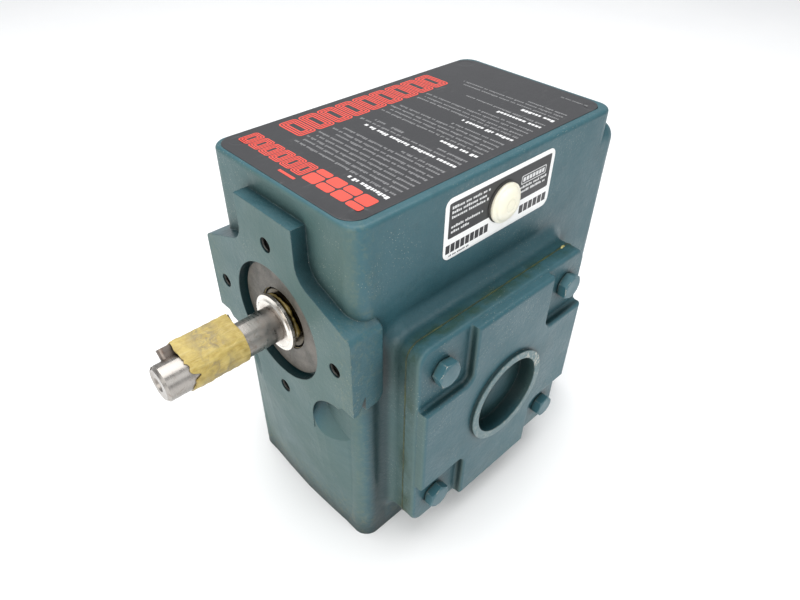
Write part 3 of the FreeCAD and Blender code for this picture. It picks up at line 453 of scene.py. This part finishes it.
KEY = metal_material("key_steel", (0.22, 0.19, 0.17), (0.10, 0.06, 0.04), rough=(0.35, 0.55),
                     brush=(0.3, 5, 5), stain=(0.13, 0.07, 0.04))
BRASS = metal_material("brass", (0.60, 0.44, 0.17), (0.20, 0.13, 0.05))
BRONZE = metal_material("bronze", (0.55, 0.36, 0.15), (0.20, 0.12, 0.05))
IRON = metal_material("machined_iron", (0.24, 0.24, 0.24), (0.10, 0.08, 0.06), rough=(0.4, 0.6))
RUBBER = plain_material("nitrile_rubber", (0.012, 0.012, 0.012), (0.035, 0.033, 0.03), 0.5)
GASKET = plain_material("gasket_sheet", (0.05, 0.06, 0.02), (0.13, 0.13, 0.045), 0.6, scale=110, bump=0.4)
SEALANT = plain_material("sealant", (0.008, 0.022, 0.008), (0.045, 0.065, 0.015), 0.45, scale=150, bump=0.3)
BEAD = plain_material("sealant_bead", (0.62, 0.55, 0.22), (0.40, 0.34, 0.12), 0.4, scale=400, bump=0.3)
GREASE = plain_material("grease", (0.12, 0.085, 0.016), (0.27, 0.20, 0.06), 0.2, scale=130, bump=0.25)
CREAM = plain_material("cream_plastic", (0.86, 0.82, 0.66), (0.92, 0.89, 0.76), 0.35, scale=45, bump=0.06,
                       transmit=0.08)
BLACK_FILM = film_material("charcoal_film", (0.028, 0.028, 0.031), (0.14, 0.14, 0.14), 0.30)
WHITE_FILM = film_material("white_film", (0.93, 0.93, 0.92), (0.60, 0.57, 0.48), 0.36, 0.35)
RED_INK = film_material("red_ink", (0.78, 0.075, 0.05), (0.50, 0.08, 0.06), 0.34, 0.4)
WHITE_INK = film_material("white_ink", (0.72, 0.72, 0.72), (0.35, 0.35, 0.35), 0.36, 0.6)
GREY_INK = film_material("grey_ink", (0.19, 0.19, 0.195), (0.09, 0.09, 0.09), 0.36, 0.6)
BLACK_INK = film_material("black_ink", (0.02, 0.02, 0.022), (0.12, 0.12, 0.12), 0.34, 0.4)
TAPE = tape_material()

FINISHES = {
    "housing": PAINT, "cover_blind": PAINT, "cover_output": PAINT,
    "gasket_blind": GASKET, "gasket_output": GASKET,
    "seal_carrier": DISC, "input_seal": RUBBER, "cap_rear": DARK, "ring_rear": DARK,
    "output_seal": RUBBER, "plugs": DARK, "bladder": RUBBER, "vent_tube": BRASS,
    "worm_shaft": STEEL, "seal_sleeve": GROUND, "input_key": KEY,
    "output_shaft": OUTPUT_STEEL, "wheel_rim": BRONZE, "wheel_hub": IRON,
}
for node_name, node_object in nodes.items():
    finish = FINISHES.get(node_name, STEEL)
    node_object.data.materials.clear()
    node_object.data.materials.append(finish)


# ---------------------------------------------------------------- deck film and its marks

FILM_TOP = PLATE_HIGH[2] - 0.09
MARK_TOP = PLATE_HIGH[2] - 0.02
FILM_ROUND = 11.5
LINE_START = -52.7


def deck_film():
    """The film on the deck, dished over the four tapped holes."""
    bm = bmesh.new()
    low_u, low_v = PLATE_LOW[0], PLATE_LOW[1]
    high_u, high_v = PLATE_HIGH[0], PLATE_HIGH[1]
    outline = rounded_outline(low_u, high_u, low_v, high_v, FILM_ROUND, 10, 30)
    middle = ((low_u + high_u) / 2, (low_v + high_v) / 2)
    holes = [(12 + 98.5 * side, 54.4 * flank) for side in (-1, 1) for flank in (-1, 1)]

    def height(u, v):
        sink = 0.0
        for hole_u, hole_v in holes:
            away = math.hypot(u - hole_u, v - hole_v)
            sink = max(sink, 0.5 * max(0.0, min(1.0, (5.6 - away) / 1.8)))
        return FILM_TOP - sink

    def inset(share, lift=None):
        ring = []
        for u, v in outline:
            point_u = middle[0] + (u - middle[0]) * share
            point_v = middle[1] + (v - middle[1]) * share
            ring.append((point_u, point_v, height(point_u, point_v) if lift is None else lift))
        return ring

    base = PLATE_LOW[2] + 0.01
    rings = [inset(1.0, base), inset(1.0, FILM_TOP - 0.05), inset(0.9985)]
    rings += [inset(share) for share in [0.99 - 0.011 * step for step in range(40)]]
    rings += [inset(share) for share in (0.45, 0.3, 0.15)]
    loft(bm, rings, cap_first=True, cap_last=True)
    film = finish_mesh("deck_film", bm, BLACK_FILM)
    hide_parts("deck_plate")


def mark(bm, low_u, high_u, low_v, high_v):
    """A flat rectangle of ink on the deck film."""
    box_at(bm, (low_u, low_v, FILM_TOP - 0.05), (high_u, high_v, MARK_TOP))


def flat_ring(bm, outer, inner):
    """A closed frame of ink between two outlines of equal point count."""
    low = FILM_TOP - 0.05
    rings = [[(u, v, low) for u, v in outer], [(u, v, MARK_TOP) for u, v in outer],
             [(u, v, MARK_TOP) for u, v in inner], [(u, v, low) for u, v in inner]]
    loft(bm, rings + [rings[0]])


def word_lengths(rng, span, letter, gap):
    """Place and width of each block on a line, with gaps like those between words."""
    used = 0.0
    while used < span:
        for _ in range(rng.choice((2, 3, 4, 5, 6, 7, 8, 9))):
            width = letter * rng.uniform(0.65, 1.25)
            if used + width > span:
                return
            yield used, width
            used += width + gap
        used += letter * 0.9


def greeked_line(bm, rng, base_x, start_y, end_y, cap, letter):
    """One line of small blocks that stands for small print and says nothing."""
    for offset, width in word_lengths(rng, end_y - start_y, letter, letter * 0.32):
        tall = cap * rng.choice((0.72, 0.72, 0.72, 1.0))
        low = start_y + offset
        mark(bm, base_x - tall, base_x, low, low + width)


def deck_small_print():
    """Bold greeked headings and lines of small greeked print across the deck film."""
    rng = random.Random(11)
    white = bmesh.new()
    grey = bmesh.new()
    for x, end in ((-66.6, -20), (-17.3, 22), (0.6, -23), (32, -12), (58.9, -19), (72.7, -27)):
        greeked_line(white, rng, x + 1.3, LINE_START, end, 2.9, 1.9)
    lines = [(-62, 33), (-57.3, 31), (-53, 33.5), (-48.7, 30), (-44.4, 33), (-39.4, 25), (-35, 32), (-30, 28),
             (-25.9, -19), (-12.7, 32), (5.3, 33), (9.9, 30), (14.4, 33), (19.1, 31), (23.7, -12), (37, 32),
             (41.3, 30), (46.3, 33), (50.9, -8), (63.4, 13), (77.3, 28), (82, 31), (86.3, -22)]
    for x, end in lines:
        greeked_line(grey, rng, x + 1.0, LINE_START, end, 2.0, 1.25)
    for start, end in ((LINE_START, -30), (-2, 8), (14, 24)):
        greeked_line(grey, rng, -7.0, start, end, 2.3, 1.35)
    greeked_line(grey, rng, 110, -53, -32, 1.6, 1.0)
    finish_mesh("deck_print_bold", white, WHITE_INK, smooth=False)
    finish_mesh("deck_print_small", grey, GREY_INK, smooth=False)


def striped_block(bm, low_u, high_u, low_v, high_v, bend, stroke, gap, count):
    """Nested outlines, one inside the other."""
    for index in range(count):
        step = index * (stroke + gap)
        radius = max(0.25, bend - step)
        outer = rounded_outline(low_u + step, high_u - step, low_v + step, high_v - step, radius, 4, 2)
        step += stroke
        radius = max(0.2, bend - step)
        inner = rounded_outline(low_u + step, high_u - step, low_v + step, high_v - step, radius, 4, 2)
        flat_ring(bm, outer, inner)


def solid_block(bm, low_u, high_u, low_v, high_v, bend):
    """A filled block of ink with round corners."""
    outline = rounded_outline(low_u, high_u, low_v, high_v, bend, 4, 2)
    loft(bm, [[(u, v, FILM_TOP - 0.05) for u, v in outline], [(u, v, MARK_TOP) for u, v in outline]],
         cap_first=True, cap_last=True)


def deck_headings():
    """Plain red blocks where the big headings stand."""
    bm = bmesh.new()
    for index in range(4):
        low = -52 + 11.9 * index
        cut = (5.2, 8.0, 6.2, 9.2)[index]
        solid_block(bm, -86, -86 + cut - 0.45, low, low + 10.7, 1.6)
        solid_block(bm, -86 + cut + 0.45, -71.6, low, low + 10.7, 1.6)
    for index in range(6):
        low = -4 + 10.15 * index
        striped_block(bm, -85.6, -72.0, low, low + 9.3, 1.8, 0.75, 0.62, 3)
    mark(bm, -90.4, -88.6, -5, 9)
    for index in range(9):
        low = -57 + 14.4 * index
        striped_block(bm, low, low + 13.3, 34.6, 57.0, 2.6, 1.0, 0.85, 3)
    finish_mesh("deck_headings", bm, RED_INK, smooth=False)


# ---------------------------------------------------------------- side label, its marks and the button

LABEL_FACE = LABEL_LOW[1]


def side_film():
    """The white label in the wall's plane."""
    bm = bmesh.new()
    outline = rounded_outline(LABEL_LOW[0], LABEL_HIGH[0], LABEL_LOW[2], LABEL_HIGH[2], 5.3, 8, 8)
    middle = ((LABEL_LOW[0] + LABEL_HIGH[0]) / 2, (LABEL_LOW[2] + LABEL_HIGH[2]) / 2)

    def ring(share, y):
        return [(middle[0] + (u - middle[0]) * share, y, middle[1] + (v - middle[1]) * share)
                for u, v in outline]

    loft(bm, [ring(1.0, LABEL_HIGH[1]), ring(1.0, LABEL_FACE + 0.08), ring(0.997, LABEL_FACE + 0.04),
              ring(0.9, LABEL_FACE + 0.04)], cap_first=True, cap_last=True)
    film = finish_mesh("side_film", bm, WHITE_FILM)
    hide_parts("side_label")


def upright_box(bm, low_u, high_u, low_v, high_v, y):
    """A flat rectangle of ink on the side label."""
    box_at(bm, (low_u, y, low_v), (high_u, LABEL_FACE + 0.05, high_v))


def side_print():
    """Black panel, greeked lines and bars on the side label."""
    rng = random.Random(5)
    black, white = bmesh.new(), bmesh.new()
    panel = rounded_outline(-33.8, 57.2, 231.7, 254.3, 1.2, 5, 4)
    loft(black, [[(u, LABEL_FACE + lift, v) for u, v in panel] for lift in (0.05, 0.025)],
         cap_first=True, cap_last=True)

    def line(bm, base, start, end, cap, letter, y):
        for offset, width in word_lengths(rng, end - start, letter, letter * 0.3):
            tall = cap * rng.choice((0.75, 0.75, 1.0))
            upright_box(bm, start + offset, start + offset + width, base, base + tall, y)

    top = LABEL_FACE
    for base, end in ((250.2, 0), (247.2, -2), (244.2, 0), (238.0, -4), (234.8, -16)):
        line(white, base, -31.5, end, 1.7, 1.25, top)
    for base in (239.6, 236.6):
        line(white, base, 26.5, 54.5, 1.7, 1.25, top)
    bar = [rounded_outline(29 + cut, 53 - cut, 242.4 + cut, 248.2 - cut, 1.0, 4, 3) for cut in (0.0, 0.55)]
    frame_rings = [(bar[0], top + 0.03), (bar[0], top), (bar[1], top), (bar[1], top + 0.03)]
    frame_rings.append(frame_rings[0])
    loft(white, [[(u, y, v) for u, v in ring] for ring, y in frame_rings])
    for index in range(7):
        upright_box(white, 30.6 + 3.05 * index, 33.0 + 3.05 * index, 243.9, 246.7, top)
    for index in range(9):
        upright_box(black, -35 + 4.1 * index, -31.6 + 4.1 * index, 222, 227.7, top + 0.01)
    for index in range(6):
        upright_box(black, 30.4 + 4.6 * index, 34.2 + 4.6 * index, 222, 227.7, top + 0.01)
    line(black, 219.4, -32, -15, 1.1, 0.9, top + 0.01)
    finish_mesh("side_print_black", black, BLACK_INK, smooth=False)
    finish_mesh("side_print_white", white, WHITE_INK, smooth=False)


def button():
    """Cream vent button: skirt, step, dome and a shallow ring on top."""
    base = BUTTON_HIGH[1]
    radius = (BUTTON_HIGH[0] - BUTTON_LOW[0]) / 2
    tall = base - BUTTON_LOW[1]
    centre = ((BUTTON_HIGH[0] + BUTTON_LOW[0]) / 2, base, (BUTTON_HIGH[2] + BUTTON_LOW[2]) / 2)
    profile = [(0.0, radius - 1.4), (-0.1, radius - 0.3), (-0.5, radius), (-1.9, radius),
               (-2.4, radius - 0.35), (-2.6, radius - 1.2), (-2.75, radius - 1.7), (-3.3, radius - 2.0),
               (-4.1, radius - 2.6), (-4.9, radius - 3.8), (-5.5, radius - 5.4), (-5.85, radius - 7.2),
               (-5.95, 4.6), (-5.8, 4.2), (-5.7, 3.8), (-5.9, 3.3), (0.15 - tall, 1.6), (0.1 - tall, 0.4)]
    bm = bmesh.new()
    loft(bm, turned_rings(profile, centre, "y", 72), cap_first=True, cap_last=True)
    dome = finish_mesh("button_dome", bm, CREAM, angle=50)
    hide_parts("vent_button")


def button_shadow_ring():
    """A dark ring behind the button, a little off its centre: a painted shadow of the button."""
    base = LABEL_FACE + 0.02
    radius = (BUTTON_HIGH[0] - BUTTON_LOW[0]) / 2
    centre = ((BUTTON_HIGH[0] + BUTTON_LOW[0]) / 2 - 1.1, base, (BUTTON_HIGH[2] + BUTTON_LOW[2]) / 2 + 0.9)
    profile = [(0.2, radius - 4), (0.2, radius + 0.5), (-0.3, radius + 0.6), (-0.5, radius + 0.1),
               (-0.5, radius - 4)]
    bm = bmesh.new()
    rings = turned_rings(profile, centre, "y", 72)
    loft(bm, rings + [rings[0]])
    finish_mesh("button_shadow_ring", bm, RUBBER, angle=40)


# ---------------------------------------------------------------- hex bolts, sealant and threads

BEAD_PLACE = (65.5, -80.4, OUTPUT_Z + 80.9)


def hex_bolt(bm, centre, facing, turn, flats=15.875, tall=7.1):
    """A hex head with cone-cut corners over a washer face."""
    steps = 72
    reach = flats / 2

    def hex_radius(angle):
        local = (angle - turn) % (math.pi / 3) - math.pi / 6
        return reach / math.cos(local)

    def ring(share, lift=None, cap=None):
        points = []
        for step in range(steps):
            angle = 2 * math.pi * step / steps
            radius = hex_radius(angle) * share if cap is None else cap * share
            if lift is None:
                height = tall - max(0.0, radius - reach * 0.93) * math.tan(math.radians(30))
            else:
                height = lift
            points.append((centre[0] + radius * math.cos(angle), centre[1] + facing * height,
                           centre[2] + radius * math.sin(angle)))
        return points

    rings = [ring(1.0, 0.0, reach * 0.97), ring(1.0, 0.45, reach * 0.97), ring(1.0, 0.5), ring(1.0, 1.2)]
    rings += [ring(share) for share in (1.0, 0.985, 0.95, 0.9, 0.8)]
    rings += [ring(share, tall, reach) for share in (0.6, 0.3)]
    loft(bm, rings, cap_first=True, cap_last=True)


def cover_bolts(name, node, facing):
    """Four bolts on the cover that faces one way along Y."""
    bm = bmesh.new()
    turns = iter((0.35, 0.9, 0.15, 0.62))
    for side in (-1, 1):
        for level in (-1, 1):
            centre = (BOLT_PLACE * side, facing * COVER_FACE, OUTPUT_Z + BOLT_PLACE * level)
            hex_bolt(bm, centre, facing, next(turns))
            rings = turned_rings([(facing * -0.02, 5.2), (facing * -18, 5.2)], centre, "y", 24)
            loft(bm, rings, cap_first=True, cap_last=True)
    piece = finish_mesh(name, bm, BOLT_PAINT, angle=20)
    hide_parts(node)


def sealant(name, facing):
    """Squeezed-out sealant along a cover's joint."""
    bm = bmesh.new()
    low_z, high_z = OUTPUT_Z - PAD_HALF_HEIGHT, OUTPUT_Z + PAD_HALF_HEIGHT
    outline = rounded_outline(-PAD_HALF, PAD_HALF, low_z, high_z, PAD_ROUND, 8, 60)
    middle = facing * JOINT_PLACE
    steps = 7
    sections = []
    count = len(outline)
    for index, (u, v) in enumerate(outline):
        before, after = outline[index - 1], outline[(index + 1) % count]
        along_u, along_v = after[0] - before[0], after[1] - before[1]
        length = math.hypot(along_u, along_v) or 1.0
        out_u, out_v = along_v / length, -along_u / length
        size = 0.42 + 0.4 * max(0.0, noise.noise(Vector((u, v, facing * 9)) * 0.16))
        size += 0.25 * noise.noise(Vector((u, v, facing * 5)) * 0.8)
        size = max(0.2, size)
        shift = 0.3 * noise.noise(Vector((u, v, 40)) * 0.35)
        section = []
        for step in range(steps):
            angle = 2 * math.pi * step / steps
            proud = size * 0.8 * math.cos(angle) + 0.05
            section.append((u + out_u * proud, middle + shift + size * math.sin(angle), v + out_v * proud))
        sections.append(section)
    loft(bm, sections + [sections[0]])
    finish_mesh(name, bm, SEALANT, angle=60)


def sealant_bead():
    """A hardened drop of sealant on the blind cover's upper joint."""
    bm = bmesh.new()
    made = bmesh.ops.create_icosphere(bm, subdivisions=3, radius=1.0)["verts"]
    for vert in made:
        lump = 1 + 0.45 * noise.noise(vert.co * 1.7)
        vert.co = Vector((vert.co.x * 2.6, vert.co.y * 0.9, vert.co.z * 0.8)) * lump
    bmesh.ops.translate(bm, vec=BEAD_PLACE, verts=made)
    finish_mesh("sealant_bead", bm, BEAD, angle=80)


def flange_threads():
    """Thread crests inside the flange's four tapped holes."""
    bm = bmesh.new()
    outer, crest = HOLE_RADIUS - 0.02, HOLE_RADIUS - 0.48
    root = HOLE_RADIUS - 0.04
    profile = []
    for turn in range(7):
        start = 1.0 + turn * 1.95
        profile += [(start, root), (start + 0.8, crest), (start + 1.15, crest)]
    profile += [(14.7, root), (14.7, outer), (0.98, outer)]
    for y, z in ((0, HOLE_CIRCLE), (0, -HOLE_CIRCLE), (HOLE_CIRCLE, 0), (-HOLE_CIRCLE, 0)):
        centre = (FLANGE_X, y, WORM_Z + z)
        rings = turned_rings(profile, centre, "x", 40)
        loft(bm, rings + [rings[0]])
    finish_mesh("flange_threads", bm, DARK, angle=60)


# ---------------------------------------------------------------- taped key, grease

KEY_LEAN = math.radians(45)


def tape_wrap():
    """Masking tape wound over the shaft and key: puckered, torn at its outer end."""
    start, stop = TAPE_LOW[0], TAPE_HIGH[0]
    count, steps = 96, 150
    shaft, side, top = 11.16, 3.2, 17.05
    reach = math.hypot(side, top)
    touch = math.atan2(top, side) - math.acos(shaft / reach)
    corner = math.atan2(top, side)

    def hull(angle):
        """Radius of the band at an angle measured from the key's far side."""
        local = abs((angle + math.pi) % (2 * math.pi) - math.pi)
        local_from_top = math.pi / 2 - local
        if local_from_top >= corner:
            return top / math.sin(max(local_from_top, corner))
        if local_from_top >= touch:
            return shaft / math.cos(local_from_top - touch)
        return shaft

    def torn(angle):
        """How far the torn outer end runs back at an angle."""
        tear = 1.3 + 2.2 * noise.noise(Vector((math.cos(angle), math.sin(angle), 3)) * 1.7)
        tear += 0.9 * noise.noise(Vector((math.cos(angle), math.sin(angle), 7)) * 6.5)
        notch = math.exp(-((((angle - 4.2) + math.pi) % (2 * math.pi) - math.pi) / 0.16) ** 2)
        return max(0.0, tear) + 4.5 * notch

    def back_end(angle):
        wander = noise.noise(Vector((math.cos(angle), math.sin(angle), 20)) * 1.4)
        return max(0.0, 0.8 + 1.0 * wander)

    def skin(share, angle, lift):
        low = start + torn(angle)
        high = stop - back_end(angle)
        x = low + (high - low) * share
        radius = hull(angle) + lift
        pucker = noise.noise(Vector((x * 0.12, math.cos(angle) * 3.2, math.sin(angle) * 3.2)))
        ridge = noise.noise(Vector((x * 0.05, math.cos(angle) * 17, math.sin(angle) * 17)))
        radius += max(0.0, lift) * (0.45 * (pucker + 0.35) + 0.22 * ridge)
        radius += max(0.0, lift) * 0.25 * math.sin(x * 1.1 + 2.5 * angle) * (0.5 + 0.5 * pucker)
        turned_angle = math.pi / 2 - angle - KEY_LEAN
        return (x, radius * math.cos(turned_angle), WORM_Z + radius * math.sin(turned_angle))

    bm = bmesh.new()
    rings = []
    angles = [2 * math.pi * step / steps for step in range(steps)]
    for row in range(count + 1):
        rings.append([skin(row / count, angle, 0.75) for angle in angles])
    inner = [[skin(row, angle, 0.0) for angle in angles] for row in (1.0, 0.0)]
    loft(bm, rings + inner + [rings[0]])
    wrap = finish_mesh("tape_wrap", bm, TAPE, body="worm", angle=50)
    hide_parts("key_tape")


def grease_ring(name, along, radius, size, spread, body, seed):
    """An uneven ring of grease round the worm axis."""
    bm = bmesh.new()
    sections = []
    steps, sides = 96, 9
    for step in range(steps):
        angle = 2 * math.pi * step / steps
        lump = noise.noise(Vector((math.cos(angle), math.sin(angle), seed)) * 1.6)
        fine = noise.noise(Vector((math.cos(angle), math.sin(angle), seed)) * 7)
        thick = max(0.12, size * (0.45 + spread * lump + 0.3 * fine))
        section = []
        for side in range(sides):
            turn = 2 * math.pi * side / sides
            reach = radius + thick * math.cos(turn)
            section.append((along + thick * math.sin(turn) * 0.9, reach * math.cos(angle),
                            WORM_Z + reach * math.sin(angle)))
        sections.append(section)
    loft(bm, sections + [sections[0]])
    finish_mesh(name, bm, GREASE, body=body, angle=70)


def bolt_paint():
    """The housing's enamel with bright, knocked corners."""
    r = Recipe("bolt_enamel")
    colour = r.mix(r.ramp(r.noise(60, 5), 0.35, 0.65), (0.03, 0.10, 0.125), (0.045, 0.125, 0.15))
    edge = r.edges(0.0011, 0.01, 0.12)
    chips = r.times(edge, r.ramp(r.noise(190, 4, 0.7), 0.5, 0.57))
    colour = r.mix(r.times(edge, 0.22), colour, (0.20, 0.30, 0.31))
    colour = r.mix(chips, colour, (0.60, 0.57, 0.50))
    # Painted shade in the bolts' hollows.
    hollow_shade = r.ramp(r.pocket_shade(0.005), 0.4, 0.95, 1.0, 0.0)
    colour = r.mix(r.times(hollow_shade, 0.7), colour, (0.03, 0.045, 0.03))
    normal = r.bump(r.noise(380, 4), 0.3, 0.0004, r.bevel(0.0006))
    r.set(Base_Color=colour, Roughness=r.ramp(r.noise(90, 4), 0.3, 0.7, 0.28, 0.46), Normal=normal,
          Metallic=r.times(chips, 0.9))
    return r.material


BOLT_PAINT = bolt_paint()

deck_film()
deck_small_print()
deck_headings()
side_film()
side_print()
button()
cover_bolts("blind_bolts", "bolts_blind", -1)
cover_bolts("output_bolts", "bolts_output", 1)
sealant("sealant_blind", -1)
sealant("sealant_output", 1)
flange_threads()
tape_wrap()
grease_ring("seal_grease", -103.4, 20.8, 0.7, 1.2, "body", 2.0)
grease_ring("neck_grease", -105.9, 16.0, 2.9, 0.9, "worm", 6.0)
sealant_bead()
button_shadow_ring()


# ---------------------------------------------------------------- studio

FLOOR_REACH = 9.0


def studio():
    """Pale seamless floor, soft lights and a white surround."""
    bm = bmesh.new()
    loft(bm, [[(side, -FLOOR_REACH, 0.0), (side, FLOOR_REACH, 0.0)] for side in (-FLOOR_REACH, FLOOR_REACH)],
         closed=False)
    mesh = bpy.data.meshes.new("floor")
    bm.to_mesh(mesh)
    bm.free()
    r = Recipe("pale_floor")
    tone = r.mix(r.ramp(r.noise(3, 3), 0.3, 0.7), (0.93, 0.93, 0.935), (0.95, 0.95, 0.95))
    r.set(Base_Color=tone, Roughness=r.ramp(r.noise(40, 3), 0.3, 0.7, 0.5, 0.6),
          Normal=r.bump(r.noise(300), 0.02, 0.001))
    r.shader.inputs["Specular IOR Level"].default_value = 0.3
    mesh.materials.append(r.material)
    floor = bpy.data.objects.new("floor", mesh)
    bpy.context.scene.collection.objects.link(floor)
    world = bpy.data.worlds.new("studio_world")
    bpy.context.scene.world = world
    world.use_nodes = True
    background = world.node_tree.nodes["Background"]
    background.inputs["Color"].default_value = (0.96, 0.98, 1.0, 1)
    background.inputs["Strength"].default_value = 0.54
    lamps = [("key", (-1.25, -0.45, 0.95), 1.2, 12.5, (1.0, 0.995, 0.97)),
             ("side", (0.25, -1.7, 1.1), 1.2, 4.6, (0.97, 0.99, 1.0)),
             ("top", (0.15, 0.25, 1.9), 2.3, 36.0, (1.0, 1.0, 1.0))]
    for name, spot, size, power, tint in lamps:
        lamp = bpy.data.lights.new(name, "AREA")
        lamp.shape = "DISK"
        lamp.size = size
        lamp.energy = power
        lamp.color = tint
        holder = bpy.data.objects.new(name, lamp)
        bpy.context.scene.collection.objects.link(holder)
        holder.location = spot
        aim = Vector((0, 0, 0.13)) - Vector(spot)
        holder.rotation_euler = aim.to_track_quat("-Z", "Y").to_euler()


def photo_camera():
    """The photograph's viewpoint, solved from the gearbox's own edges."""
    yaw, pitch, roll = math.radians(45.892), math.radians(39.318), math.radians(-0.995)
    place = Vector((-253.675, -255.263, 425.561)) * MM
    forward = Vector((math.cos(pitch) * math.cos(yaw), math.cos(pitch) * math.sin(yaw), -math.sin(pitch)))
    right = forward.cross(Vector((0, 0, 1))).normalized()
    down = forward.cross(right)
    rolled_right = math.cos(roll) * right + math.sin(roll) * down
    rolled_down = -math.sin(roll) * right + math.cos(roll) * down
    data = bpy.data.cameras.new("camera")
    data.sensor_width = 36
    data.lens = 28.32
    data.clip_start = 0.01
    camera = bpy.data.objects.new("camera", data)
    bpy.context.scene.collection.objects.link(camera)
    turn = Matrix((rolled_right, -rolled_down, -forward)).transposed().to_4x4()
    camera.matrix_world = Matrix.Translation(place) @ turn
    bpy.context.scene.camera = camera


studio()
photo_camera()
bpy.context.scene.view_settings.view_transform = "Standard"

bpy.context.view_layer.update()
